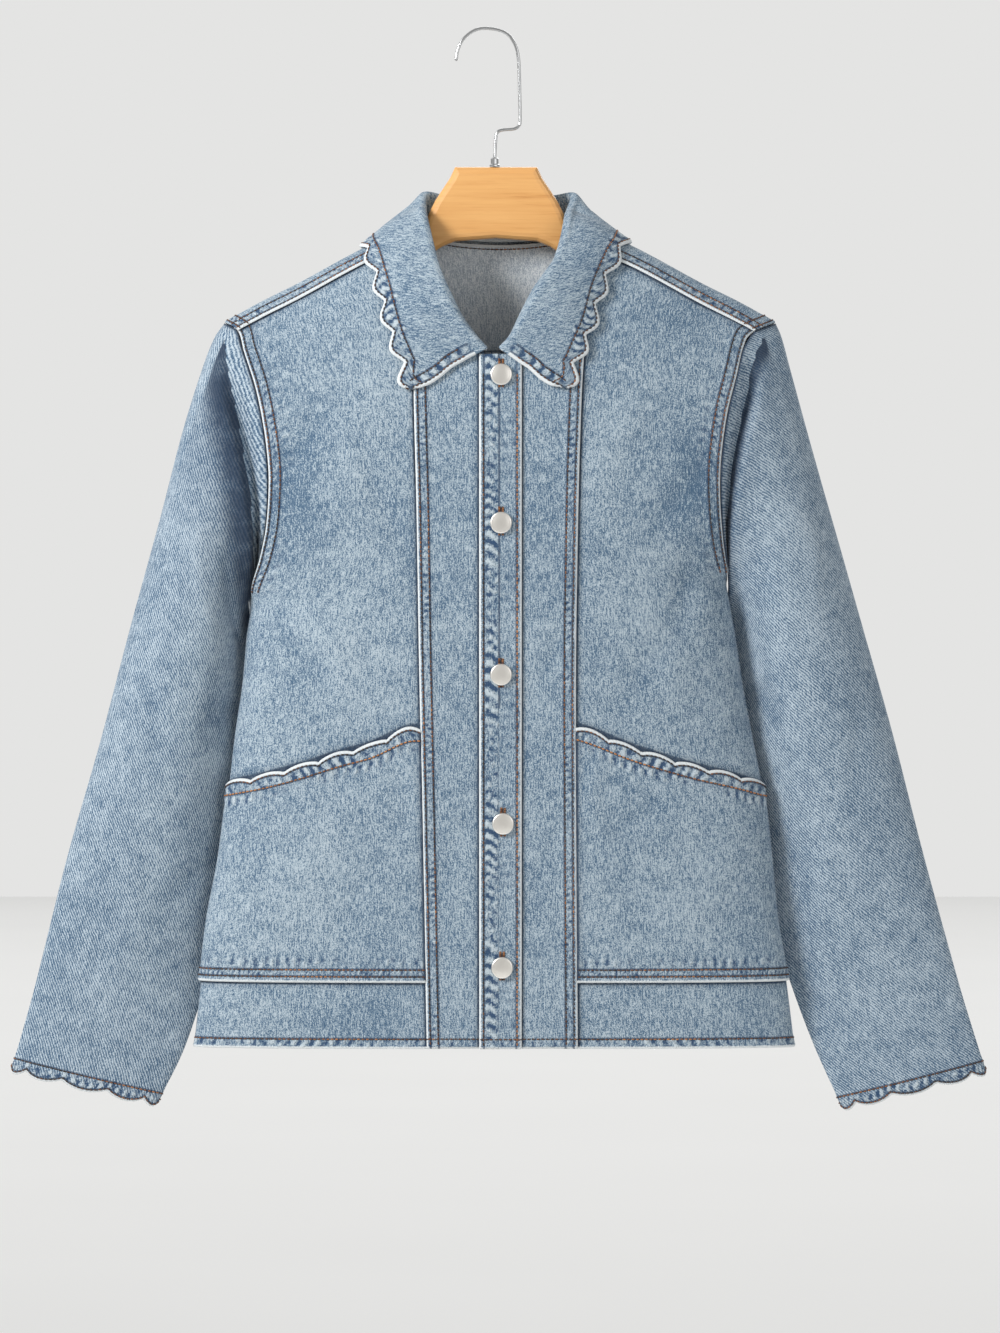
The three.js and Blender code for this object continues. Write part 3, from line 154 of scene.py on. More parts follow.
# How far from the armhole the painted shade of this fold starts, at the shoulder and below, and how fast it
# fades.
FOLD_SHADE = {"left": (8, 36, 0.05), "right": (6, 22, 0.16)}
SLEEVE_LENGTH = 600
BUTTON_PLACES = ((0.8, 521), (0.8, 407), (0.8, 290), (2.3, 174.7), (1.6, 63.2))
HOOK_PATH = (
    (-4.3, 686.2), (-4.1, 694), (-3.4, 706), (-2.6, 711.6), (0.8, 714.3), (11, 715.4), (14.6, 717.8),
    (15.6, 722), (15.4, 743), (14.2, 772), (9.6, 785), (2.2, 791.2), (-9.4, 793.7), (-19.6, 792.3),
    (-28.6, 785.4), (-33, 776.5), (-34.3, 768.3),
)

# Soft creases of the body, from one end to the other: x, z, x, z, half width, and height out of the
# cloth, negative for a trough.
FRONT_CREASES = rows(
    "x0 z0 x1 z1 half height",
    (-172, 352, -138, 268, 12, -1.8), (-150, 330, -108, 262, 16, 1.2), (-186, 300, -170, 215, 10, 1.1),
    (-118, 520, -96, 392, 20, 1.2), (-84, 500, -80, 330, 9, -0.9), (-150, 505, -160, 430, 12, -1.1),
    (-92, 242, -128, 205, 12, -1.1), (-70, 236, -74, 150, 8, 0.9), (-150, 190, -160, 90, 22, 1.0),
    (-105, 150, -112, 70, 14, -0.7), (162, 378, 108, 300, 12, -2.0), (160, 350, 128, 262, 13, 1.4),
    (152, 470, 130, 385, 13, -1.3), (96, 520, 88, 400, 16, 1.1), (118, 300, 84, 262, 11, -0.8),
    (78, 236, 84, 150, 8, 0.9), (120, 205, 96, 160, 12, -1.0), (170, 190, 150, 84, 20, 1.0),
    (182, 320, 186, 228, 9, -1.0), (104, 140, 116, 66, 14, -0.7), (-34, 470, -38, 250, 9, -0.5),
    (38, 440, 34, 230, 9, -0.6), (-36, 200, -34, 70, 8, -0.5), (40, 180, 38, 60, 8, -0.5),
)
BACK_CREASES = rows(
    "x0 z0 x1 z1 half height",
    (-168, 372, -112, 262, 15, -2.4), (-150, 340, -100, 230, 17, 1.6), (165, 380, 104, 276, 15, -2.6),
    (150, 348, 96, 236, 18, 1.7), (-60, 420, -50, 190, 20, -1.5), (48, 400, 60, 170, 21, -1.4),
    (-8, 380, 4, 120, 24, 1.5), (-120, 200, -128, 70, 20, 1.3), (118, 196, 124, 80, 20, 1.2),
    (-176, 240, -170, 110, 14, -1.5), (176, 230, 168, 100, 14, -1.4), (-30, 180, -20, 66, 16, -1.0),
    (36, 170, 30, 66, 15, -1.0),
)
# Soft patches of painted shading on the front: darker where the depth is positive, paler where it is
# negative.
FRONT_SHADE_PATCHES = rows(
    "x z wide tall depth",
    (-166, 436, 22, 40, 1.5), (-140, 388, 26, 40, 0.7), (152, 440, 20, 44, 1.6), (138, 566, 30, 15, 1.1),
    (-118, 330, 34, 60, -0.7), (118, 330, 30, 60, -0.3), (-128, 130, 40, 40, -0.5), (128, 130, 36, 40, -0.3),
    (-120, 24, 40, 16, 0.9), (100, 26, 30, 14, 0.5), (-90, 540, 26, 30, -0.5), (38, 420, 12, 60, 0.4),
)
# Soft creases of the sleeves: share of the length and turn round the section at both ends. Turn 0 is
# the outer edge, 0.5 the front, 1 the inner edge, 1.5 the back.
SLEEVE_CREASES = {
    "left": rows(
        "x0 z0 x1 z1 half height",
        (0.10, 0.62, 0.30, 0.70, 10, -1.6), (0.12, 0.46, 0.34, 0.52, 14, 1.4),
        (0.36, 0.80, 0.50, 0.58, 9, -1.5),
        (0.40, 0.86, 0.55, 0.68, 9, 1.1), (0.46, 0.30, 0.60, 0.40, 12, -0.9),
        (0.62, 0.72, 0.80, 0.66, 9, -1.0),
        (0.70, 0.44, 0.90, 0.40, 12, 0.9), (0.08, 1.60, 0.36, 1.48, 14, -2.0),
        (0.20, 1.35, 0.42, 1.30, 12, 1.6),
        (0.40, 1.20, 0.54, 1.50, 10, -1.9), (0.47, 1.16, 0.60, 1.42, 10, 1.5),
        (0.64, 1.50, 0.86, 1.52, 13, -1.2),
    ),
    "right": rows(
        "x0 z0 x1 z1 half height",
        (0.14, 0.40, 0.34, 0.34, 12, 1.3), (0.12, 0.64, 0.26, 0.58, 9, -1.3),
        (0.34, 0.82, 0.47, 0.60, 9, -1.6),
        (0.38, 0.88, 0.52, 0.70, 9, 1.2), (0.50, 0.34, 0.66, 0.28, 12, -0.9),
        (0.60, 0.70, 0.78, 0.74, 9, -1.2),
        (0.66, 0.50, 0.92, 0.46, 12, 1.0), (0.10, 1.56, 0.34, 1.62, 14, -2.0),
        (0.22, 1.32, 0.40, 1.40, 12, 1.6),
        (0.38, 1.18, 0.55, 1.46, 10, -1.9), (0.50, 1.20, 0.62, 1.48, 10, 1.4),
        (0.66, 1.44, 0.88, 1.50, 13, -1.2),
    ),
}


def curve(table, along, what):
    """A smooth curve through one column of a table, over another column."""
    xs, ys = table[along], table[what]
    last = len(xs) - 1
    before = np.maximum(np.arange(last + 1) - 1, 0)
    after = np.minimum(np.arange(last + 1) + 1, last)
    slopes = (ys[after] - ys[before]) / (xs[after] - xs[before])

    def at(x):
        x = np.clip(x, xs[0], xs[-1])
        i = np.clip(np.searchsorted(xs, x) - 1, 0, last - 1)
        span = xs[i + 1] - xs[i]
        t = (x - xs[i]) / span
        rest = 1 - t
        start = rest * rest * (1 + 2 * t) * ys[i] + rest * rest * t * span * slopes[i]
        return start + t * t * (3 - 2 * t) * ys[i + 1] - t * t * rest * span * slopes[i + 1]

    return at


def lerp(a, b, t):
    return a + (b - a) * t


def smooth(x, low, high):
    t = np.clip((x - low) / (high - low), 0, 1)
    return t * t * (3 - 2 * t)


def bump(x, low, high, soft):
    """1 between two values, falling off to 0 on both sides."""
    return smooth(x, low - soft, low + soft) * (1 - smooth(x, high - soft, high + soft))


def scallop(turns):
    return np.abs(np.sin(np.pi * turns)) ** 0.7


width = {side: curve(SIDES, "z", side) for side in SIDE_NAMES}
depth = {FRONT: curve(DEPTHS, "z", "front"), BACK: curve(DEPTHS, "z", "back")}
ridge = curve(RIDGE, "x", "z")
princess = {side: curve(PRINCESS, "z", side) for side in SIDE_NAMES}
mouth = {side: curve(POCKET_MOUTHS, "x", side) for side in SIDE_NAMES}
armhole = {
    side: {FRONT: curve(ARMHOLES[side], "z", "front"), BACK: curve(ARMHOLES[side], "z", "back")}
    for side in SIDE_NAMES
}
underarm = {side: ARMHOLES[side]["z"][0] for side in SIDE_NAMES}


def unit(v):
    return v / np.maximum(np.linalg.norm(v, axis=-1, keepdims=True), 1e-9)


def squared_depth(x, z, face):
    wide = np.where(x < 0, width["left"](z), width["right"](z))
    deep = np.where(face < 0, depth[FRONT](z), depth[BACK](z))
    fall = np.maximum(0, 1 - (ridge(np.abs(x)) - z) / SHOULDER_ROUND)
    return deep**2 * (1 - (np.abs(x) / wide) ** 3) * (1 - fall * fall)


def torso(x, z, face, out=0.0):
    """Points of the body's cloth, moved out by a number of millimetres."""
    x, z, face, out = np.broadcast_arrays(*(np.asarray(v, float) for v in (x, z, face, out)))
    step = 0.05
    y = face * np.sqrt(np.maximum(0, squared_depth(x, z, face)))
    normal = np.stack(
        [
            (squared_depth(x - step, z, face) - squared_depth(x + step, z, face)) / (2 * step),
            2 * y,
            (squared_depth(x, z - step, face) - squared_depth(x, z + step, face)) / (2 * step),
        ],
        -1,
    )
    return np.stack([x, y, z], -1) + unit(normal) * out[..., None]


def over_shoulder(x, drop, out=0.0):
    face = np.where(drop >= 0, FRONT, BACK)
    return torso(x, ridge(np.abs(x)) - np.abs(drop), face, out)


def lean_of(drop):
    return np.sign(drop) * np.arccos(1 - np.abs(drop) / SHOULDER_ROUND)


def drop_of(lean):
    return np.sign(lean) * SHOULDER_ROUND * (1 - np.cos(lean))


def side_seam(side, z, face):
    share = GAP / 2 / np.maximum(depth[face](z), 1)
    return width[side](z) * (1 - share * share) ** (1 / 3)


def armhole_at_drop(side, face, drop):
    near, far = 140.0, 213.0
    for _ in range(30):
        middle = (near + far) / 2
        if armhole[side][face](ridge(middle) - drop) > middle:
            near = middle
        else:
            far = middle
    return near


def creases(table, x, z):
    """Height of the soft creases at places, each fading out towards its ends."""
    height = np.zeros(np.broadcast(x, z).shape)
    for x0, z0, x1, z1, half, lift in zip(*table.values()):
        run = np.array([x1 - x0, z1 - z0])
        share = np.clip(((x - x0) * run[0] + (z - z0) * run[1]) / (run @ run), -0.2, 1.2)
        bend = 0.12 * math.hypot(*run) * np.sin(np.pi * share * 1.3 + x0)
        off = ((x - x0) * run[1] - (z - z0) * run[0]) / math.hypot(*run) + bend
        ends = smooth(share, -0.18, 0.35) * (1 - smooth(share, 0.6, 1.18))
        height += lift * ends * np.exp(-((off / half) ** 2))
    return height


def rungs(run, seed, pitch=9.5):
    """Uneven ripples along a seam."""
    drift = 2.1 * np.sin(run / 41 + seed) + 1.4 * np.sin(run / 15.3 + 2 * seed)
    return np.sin(run * 2 * np.pi / pitch + drift) * (0.62 + 0.38 * np.sin(run / 19 + 3 * seed))


EDGE_STEPS = (0, 0.5, 1.0, 1.6, 2.3, 3.1, 4.2, 5.8, 7.4, 9.2)


def spaced(length, step, low=False, high=False):
    """Shares of a length: evenly spaced, and closer together near a finished edge."""
    marks = [0, length]
    finished = EDGE_STEPS[-1] + step * 0.8
    start, stop = (finished if low else 0), (length - finished if high else length)
    if low:
        marks += EDGE_STEPS
    if high:
        marks += [length - d for d in EDGE_STEPS]
    marks += list(np.linspace(start, stop, max(2, round((stop - start) / step) + 1)))
    return np.unique(np.round(marks, 3)) / length


def grid_normals(points, wrap=False):
    """Normals of a grid of points, on the side that row direction x column direction gives."""
    if wrap:
        padded = np.concatenate([points[:, -2:-1], points, points[:, 1:2]], 1)
        across = (padded[:, 2:] - padded[:, :-2])
    else:
        across = np.gradient(points, axis=1)
    return unit(np.cross(across, np.gradient(points, axis=0)))


def runs_of(points, axis):
    """Cloth length up to each point of a grid, along its rows (axis 1) or columns (axis 0)."""
    steps = np.linalg.norm(np.diff(points, axis=axis), axis=-1)
    pad = [(0, 0), (0, 0)]
    pad[axis] = (1, 0)
    return np.pad(np.cumsum(steps, axis=axis), pad)


class Piece:
    """A grid of cloth points with its outward normals, its wear and its painted shade: how far each point is
    from a finished edge and from a piece lying over it, where the wash puckers are, and the run along them."""

    def __init__(self, name, points, outward, wrap=False):
        normals = grid_normals(points, wrap)
        probe = normals[points.shape[0] // 2, points.shape[1] // 4]
        self.name, self.points, self.wrap = name, points, wrap
        self.normals = normals * (1 if probe @ np.array(outward, float) > 0 else -1)
        self.flipped = probe @ np.array(outward, float) <= 0
        self.up = runs_of(points, 0)
        self.across = runs_of(points, 1)
        self.height, self.length = self.up[-1:], self.across[:, -1:]
        self.edge = np.full(points.shape[:2], 60.0)
        self.lap = np.full(points.shape[:2], 60.0)
        self.band = np.zeros(points.shape[:2])
        self.pucker = np.zeros(points.shape[:2])
        self.rows = [np.full(points.shape[:2], 60.0) for _ in range(2)]
        self.nearest = np.full(points.shape[:2], 18.0)
        self.even = None
        self.holes = set()
        middle = self.across[:, points.shape[1] // 2][:, None]
        self.flat = [(self.across - middle) * (-1 if self.flipped else 1), self.up]
        self.lift = np.zeros(points.shape[:2])
        self.tone = np.zeros(points.shape[:2])

    def from_edge(self, edge):
        """Distance from an edge of the grid, and the run along it. A scalloped edge has an even run."""
        across = self.across if self.even is None else self.even + 0 * self.across
        return {
            "bottom": (self.up, across),
            "top": (self.height - self.up, across),
            "start": (self.across, self.up),
            "end": (self.length - self.across, self.up),
        }[edge]

    def wear(self, edge, band, seed, ripple=0.35, thick=0.45, where=None, folded=True, lean=2.0,
             pitch=9.5, strength=1.0, cord=1.0):
        """A seam along one edge: its folded white edge, its raised allowance and its puckers."""
        away, run = self.from_edge(edge)
        mask = np.ones_like(away) if where is None else where
        low, high = band
        if folded:
            self.edge = np.minimum(self.edge, np.where(mask > 0.5, away / cord, 60))
            self.lift += mask * (0.4 * bump(away, 0.4, 2.0, 0.6) - 0.5 * (1 - smooth(away, 0, 0.8)))
        inside = bump(away, low, high, 1.6) * mask
        ripples = rungs(run + lean * np.sin(away / 2.3 + seed), seed, pitch)
        self.lift += mask * thick * (1 - smooth(away, high - 1.5, high + 3)) + inside * ripple * ripples
        self.pucker = np.where(inside > self.band, ripples * inside * strength, self.pucker)
        self.band = np.maximum(self.band, inside * strength)

    def sewn(self, edge, first, second=60.0, where=None):
        """Keeps the cloth's distance from the two rows of stitches along an edge."""
        away, _ = self.from_edge(edge)
        near = (away < self.nearest) & (np.ones_like(away, bool) if where is None else where > 0.5)
        self.nearest = np.where(near, away, self.nearest)
        for k, distance in enumerate((first, second)):
            self.rows[k] = np.where(near, away - distance, self.rows[k])

    def shrunk(self, away, run, low, high, seed, soft, depth, share):
        """Puckers in the cloth beside a seam, past its allowance."""
        zone = bump(away, low, high, soft) * share
        ripples = rungs(run, seed)
        self.lift += depth * zone * ripples
        self.pucker = np.where(zone > self.band, ripples * zone, self.pucker)
        self.band = np.maximum(self.band, zone)

    def under(self, away, where=None):
        """Another piece lies over this one at a distance: beside it the cloth gets a painted shadow and the
        darker indigo that the lap kept from the wash.
        """
        away = np.where(away < -0.5, 0, np.maximum(away, 0))
        self.lap = np.minimum(self.lap, away if where is None else np.where(where > 0.5, away, 60))

    def raised(self):
        return self.points + self.normals * self.lift[..., None]


pieces = {}
stitch_rows = []


def stitch(piece, edge, distance, thickness=CLOTH, span=(0.0, 1.0), tone=0.35, inside=False):
    """A row of topstitching at a distance from an edge of a piece, over a span of that edge."""
    facing = -piece.normals if inside else piece.normals
    shape = piece.raised() + facing * (thickness / 2 + 0.12)
    if edge in ("start", "end"):
        shape, facing = shape.swapaxes(0, 1), facing.swapaxes(0, 1)
    if edge in ("top", "end"):
        shape, facing = shape[::-1], facing[::-1]
    count = shape.shape[1]
    first, last = int(span[0] * (count - 1)), int(math.ceil(span[1] * (count - 1)))
    distance = np.broadcast_to(np.asarray(distance, float), (count,))
    line, normals = [], []
    for i in range(first, last + 1):
        steps = np.linalg.norm(np.diff(shape[:, i], axis=0), axis=-1)
        runs = np.concatenate([[0], np.cumsum(steps)])
        line.append([np.interp(distance[i], runs, shape[:, i, k]) for k in range(3)])
        normals.append([np.interp(distance[i], runs, facing[:, i, k]) for k in range(3)])
    stitch_rows.append((np.array(line), unit(np.array(normals)), tone))


# The body


def row_places(side, face, z, start, stop, shares):
    """Side distances at even shares of the cloth between two side distances."""
    wide = width[side](z)
    turns = np.linspace(*(np.arcsin(min(1.0, x / wide) ** 1.5) for x in (start, stop)), 70)
    x = wide * np.sin(turns) ** (2 / 3)
    x[0], x[-1] = start, stop
    y = np.sqrt(np.maximum(0, squared_depth(SIGN[side] * x, np.full_like(x, z), face)))
    runs = np.concatenate([[0], np.cumsum(np.hypot(np.diff(x), np.diff(y)))])
    return np.interp(shares * runs[-1], runs, x)


def panel_inner(side, z):
    tucked = princess[side](z) - lerp(PANEL_TUCK, -0.6, smooth(z, 400, 440))
    neck = np.clip((NECK_Z - z) / NECK_FRONT, 0, 1)
    return np.maximum(tucked, NECK_HALF * np.sqrt(1 - neck * neck) + 1.5)


def body_rows(side, face, inner, seam_drop, shares, low, high):
    """Places of a side front or of half of the back: level rows up to the underarm, and above it
    rows that fan up to the shoulder seam. Returns side distances and heights."""
    under = underarm[side]
    tip = armhole_at_drop(side, face, seam_drop(190))
    tip_z = ridge(tip) - seam_drop(tip)
    top_z = lambda x: ridge(x) - seam_drop(x)
    top_in = inner(top_z(NECK_HALF)) if face == FRONT else inner(0)
    x_all, z_all = [], []
    for t in low * (under - BAND_TOP - GAP) + BAND_TOP + GAP:
        x_all.append(row_places(side, face, t, float(inner(t)), float(side_seam(side, t, face)), shares))
        z_all.append(np.full(len(shares), t))
    for s in high[1:]:
        out_z = lerp(under, tip_z, s)
        out_x = min(float(armhole[side][face](out_z)), float(side_seam(side, out_z, face)))
        in_z = lerp(under, top_z(top_in), s)
        in_x = float(inner(in_z))
        x = row_places(side, face, (in_z + out_z) / 2, in_x, out_x, shares)
        z = lerp(in_z, out_z, (x - in_x) / (out_x - in_x))
        straight = lerp(top_z(top_in), tip_z, (x - top_in) / (tip - top_in))
        inside = np.clip((x - in_x) / 8, 0, 1) * np.clip((out_x - x) / 8, 0, 1)
        x_all.append(x)
        z_all.append(z + s * s * (top_z(x) - straight) * inside)
    return np.array(x_all), np.array(z_all)


def body_piece(name, x, z, face, layer, table):
    """A piece of the body at places x, z, on a layer, with the body's own soft creases and their painted
    shading.
    """
    swell = creases(table, x, z)
    piece = Piece(name, torso(x, z, face, layer + swell), (0, face, 0))
    piece.x, piece.z = x, z
    # Painted shading of the creases: darker in the troughs, paler on the ridges.
    piece.tone += swell / 2.2
    if face == FRONT:
        # Soft patches of painted shading: darker where the depth is positive, paler where it is negative.
        for x0, z0, wide, tall, dark in zip(*FRONT_SHADE_PATCHES.values()):
            piece.tone -= dark * np.exp(-(((x - x0) / wide) ** 2) - ((z - z0) / tall) ** 2)
    pieces[name] = piece
    return piece


def front_panel(side):
    shares = spaced(165, 2.6, high=True)
    low = np.linspace(0, 1, 104)
    high = spaced(200, 2.4, high=True)
    seam = FRONT_SEAM_DROP[side] - YOKE_LAP
    x, z = body_rows(side, FRONT, lambda h: panel_inner(side, h), lambda _: seam, shares, low, high)
    piece = body_piece(f"front panel {side}", SIGN[side] * x, z, FRONT, 0, FRONT_CREASES)
    above = smooth(z, underarm[side] + 2, underarm[side] + 8)
    piece.wear("end", (3.2, 10.0), 1.3, 0.2, 0.5, where=above, pitch=6.5, strength=0.7, cord=0.75)
    away, run = piece.from_edge("end")
    piece.shrunk(away, run, 11.5, 21, 1.3, 3, 0.35, 0.45 * above)
    # Painted shadow and protected indigo beside the strip, the yoke and the pocket that lie over this panel.
    piece.under(x - princess[side](z))
    piece.under(piece.height - piece.up - YOKE_LAP)
    crest = mouth[side](x)
    piece.under(np.where(z < crest, 0, z - crest))
    first = (len(low) + 2) / len(x)
    piece.sewn("end", *ARMHOLE_ROWS, where=above)
    for distance in ARMHOLE_ROWS:
        stitch(piece, "end", distance, span=(first, 0.985), tone=0.3)


def back_panel():
    shares = np.linspace(0, 1, 62)
    low, high = np.linspace(0, 1, 82), np.linspace(0, 1, 40)
    halves = []
    for side in SIDE_NAMES:
        drop = lambda x: lerp(129, 72, np.abs(x) / 195) - YOKE_LAP
        halves.append(body_rows(side, BACK, lambda _: 0.0, drop, shares, low, high))
    (xl, zl), (xr, zr) = halves
    middle = (zl[:, :1] + zr[:, :1]) / 2
    zl = zl + (middle - zl[:, :1]) * (1 - np.abs(xl) / xl[:, -1:])
    zr = zr + (middle - zr[:, :1]) * (1 - np.abs(xr) / xr[:, -1:])
    x = np.concatenate([-xl[:, ::-1], xr[:, 1:]], 1)
    z = np.concatenate([zl[:, ::-1], zr[:, 1:]], 1)
    piece = body_piece("back panel", x, z, BACK, 0, BACK_CREASES)
    for edge, side in (("start", "left"), ("end", "right")):
        above = smooth(z, underarm[side] + 2, underarm[side] + 8)
        piece.wear(edge, (3.2, 10.0), 2.1, 0.2, 0.5, where=above, pitch=6.5, strength=0.6)
        first = (len(low) + 2) / len(x)
        piece.sewn(edge, *ARMHOLE_ROWS, where=above)
        for distance in ARMHOLE_ROWS:
            stitch(piece, edge, distance, span=(first, 0.98), tone=0.3)
    piece.under(piece.height - piece.up - YOKE_LAP)
    piece.wear("bottom", (1.5, 10.5), 4.4, 0.3, 0.5)
    piece.sewn("bottom", *BACK_FOOT_ROWS)
    for distance in BACK_FOOT_ROWS:
        stitch(piece, "bottom", distance, tone=0.3)


def hem_band(side):
    shares = spaced(175, 2.6)
    levels = spaced(BAND_TOP, 2.2, low=True) * BAND_TOP
    seam = side_seam(side, levels, FRONT)
    inner = princess[side](levels) - PANEL_TUCK
    x = np.array([row_places(side, FRONT, t, i, s, shares) for t, i, s in zip(levels, inner, seam)])
    z = np.repeat(levels[:, None], len(shares), 1)
    piece = body_piece(f"hem band {side}", SIGN[side] * x, z, FRONT, 0, FRONT_CREASES)
    piece.wear("bottom", (1, 7.5), 5.1, 0.35, 0.4)
    piece.under(x - princess[side](z))
    piece.under(np.maximum(POCKET_FOOT - z, 0))
    piece.sewn("bottom", HEM_ROW)
    stitch(piece, "bottom", HEM_ROW, tone=0.5)


def back_band():
    shares = np.linspace(0, 1, 70)
    levels = spaced(BAND_TOP, 3, low=True) * BAND_TOP
    halves = []
    for side in SIDE_NAMES:
        seam = side_seam(side, levels, BACK)
        halves.append(np.array([row_places(side, BACK, t, 0, s, shares) for t, s in zip(levels, seam)]))
    x = np.concatenate([-halves[0][:, ::-1], halves[1][:, 1:]], 1)
    z = np.repeat(levels[:, None], x.shape[1], 1)
    piece = body_piece("back hem band", x, z, BACK, 0, BACK_CREASES)
    piece.wear("bottom", (1, 7.5), 5.7, 0.35, 0.4)
    piece.under(BAND_TOP - z)
    piece.sewn("bottom", HEM_ROW)
    stitch(piece, "bottom", HEM_ROW, tone=0.5)


def pocket(side):
    scallops = 6
    step = spaced(178, 1.9, low=True, high=True)
    rise = spaced(170, 2.1, low=True, high=True)
    x_mouth = row_places(side, FRONT, 225, princess[side](225) + GAP, side_seam(side, 225, FRONT), step)
    top = mouth[side](x_mouth) - SCALLOP_HEIGHTS["pocket"] * (1 - scallop(scallops * step))
    x, z = [], []
    for share in rise:
        level = lerp(POCKET_FOOT, top, share)
        even = float(lerp(POCKET_FOOT, 225, share))
        start, stop = princess[side](even) + GAP, side_seam(side, even, FRONT)
        places = row_places(side, FRONT, even, float(start), float(stop), step)
        inner = princess[side](level) + GAP
        outer = side_seam(side, level, FRONT)
        x.append(inner + (places - start) * (outer - inner) / (stop - start))
        z.append(level)
    x, z = np.array(x), np.array(z)
    piece = body_piece(f"pocket {side}", SIGN[side] * x, z, FRONT, LAYER + GAP, FRONT_CREASES)
    piece.even = step * 178
    dip = SCALLOP_HEIGHTS["pocket"] * scallop(scallops * step)
    away, run = piece.from_edge("top")
    piece.wear("top", (3.2, 12.0), 3.3, 0.45, 0.5, strength=1.2, cord=1.35)
    piece.wear("bottom", (5, 9.8), 6.2, 0.2, 0.4, lean=1.0, pitch=3.4, strength=0.8)
    piece.under(x - princess[side](z))
    piece.shrunk(away - dip, run, 9.0, 17, 1.7, 3.5, 0.4, 0.8)
    piece.sewn("top", EDGE_ROW, 8.4 + dip)
    for distance, tone in ((EDGE_ROW, 0.2), (8.4 + dip, 0.75)):
        stitch(piece, "top", distance, tone=tone)
    away, run = piece.from_edge("bottom")
    piece.shrunk(away, run, 11, 19, 2.7, 3.0, 0.3, 0.7)
    piece.sewn("bottom", *POCKET_FOOT_ROWS)
    for distance in POCKET_FOOT_ROWS:
        stitch(piece, "bottom", distance, tone=0.45)


def neck_height(x):
    return NECK_Z - NECK_FRONT * np.sqrt(np.maximum(0, 1 - (x / NECK_HALF) ** 2))


def strip(side):
    inner = -PLACKET_LEFT - STRIP_TUCK if side == "left" else PLACKET_RIGHT + GAP
    corner = NECK_HALF - 0.8
    highest = neck_height(corner) - 3
    shares = spaced(44, 1.9, high=True)
    foot = neck_height(inner)
    above = lerp(foot, highest, np.linspace(0, 1, 40) ** 1.5)
    levels = np.concatenate([np.linspace(0, foot, 214), above[1:]])
    z = np.repeat(levels[:, None], len(shares), 1)
    neck = NECK_HALF * np.sqrt(np.maximum(0, 1 - np.clip((NECK_Z - levels) / NECK_FRONT, 0, 1) ** 2))
    start = np.maximum(inner, np.minimum(neck, corner))
    x = lerp(start[:, None], princess[side](z), shares[None, :])
    piece = body_piece(f"front strip {side}", SIGN[side] * x, z, FRONT, LAYER, FRONT_CREASES)
    seed = 0.6 if side == "left" else 0.9
    piece.wear("end", (3.2, 9.2), seed, 0.15, 0.45, lean=1.0, pitch=4.6, strength=0.8, cord=0.72)
    piece.wear("bottom", (1, 7.5), 5.5, 0.2, 0.2)
    # Distance from the placket's edge, for its painted shadow and protected indigo on the strip beside it.
    lap = x + PLACKET_LEFT if side == "left" else x - PLACKET_RIGHT
    piece.under(lap * (1 if side == "left" else 1.6))
    piece.sewn("end", *STRIP_ROWS)
    for distance in STRIP_ROWS:
        stitch(piece, "end", distance, span=(0.006, 0.93), tone=0.35)
    stitch(piece, "bottom", HEM_ROW, tone=0.5)


def placket(name, left, right, layer, top):
    button_x = np.interp(np.arange(0, 537, 1.9), *np.array([(z, x) for x, z in BUTTON_PLACES[::-1]]).T)
    z = np.linspace(0, PLACKET_TOP, len(button_x))
    slit = button_x[:, None] + np.array([-0.75, 0.75])[None, :]
    near = left + np.array([0, 0.4, 0.8, 1.25, 1.8, 2.5, 3.4, 5, 6.6, 8.2, 9.8, 11.4, 13, 14.4])
    far = right - np.array([13.6, 12, 10.4, 8.8, 7.2, 5.6, 4.4, 3.4, 2.5, 1.8, 1.25, 0.8, 0.4, 0])
    far = far[far > 3.6]
    near = near[near < -0.8]
    x = np.concatenate([np.tile(near, (len(z), 1)), slit, np.tile(far, (len(z), 1))], 1)
    z = np.repeat(z[:, None], x.shape[1], 1)
    piece = body_piece(name, x, z, FRONT, layer, FRONT_CREASES)
    if top:
        piece.wear("start", (4.4, 14.0), 8.1, 0.5, 0.3, lean=2.4, strength=1.3, cord=0.8)
        piece.wear("end", (1.5, 3.0), 8.8, 0.15, 0.35, cord=0.8)
        piece.wear("bottom", (1, 7.5), 5.5, 0.2, 0.2)
        away, run = piece.from_edge("start")
        piece.shrunk(away, run * 1.1, 15, 30, 4.0, 2, 0.12, 0.3)
        piece.sewn("start", PLACKET_ROW, PLACKET_LINE)
        piece.sewn("end", PLACKET_FREE_ROW)
        stitch(piece, "start", PLACKET_ROW, tone=0.16, span=(0.004, 0.97))
        stitch(piece, "end", PLACKET_FREE_ROW, tone=0.7, span=(0.004, 0.97))
        stitch(piece, "bottom", HEM_ROW, tone=0.5)
        slit_column = len(near)
        rows_of = [0.5 * (a + b) for a, b in zip(z[:-1, 0], z[1:, 0])]
        piece.holes = {
            (j, slit_column)
            for j, level in enumerate(rows_of)
            for _, place in BUTTON_PLACES
            if -9.5 < level - place < 12
        }
    return piece


# The yoke


def neck_place(turn):
    angle = np.radians(turn)
    fall = np.where(turn <= 90, NECK_FRONT, NECK_BACK)
    x = NECK_HALF * np.sin(angle)
    z = NECK_Z - fall * np.abs(np.cos(angle))
    return x, (ridge(x) - z) * np.where(turn <= 90, 1, -1)


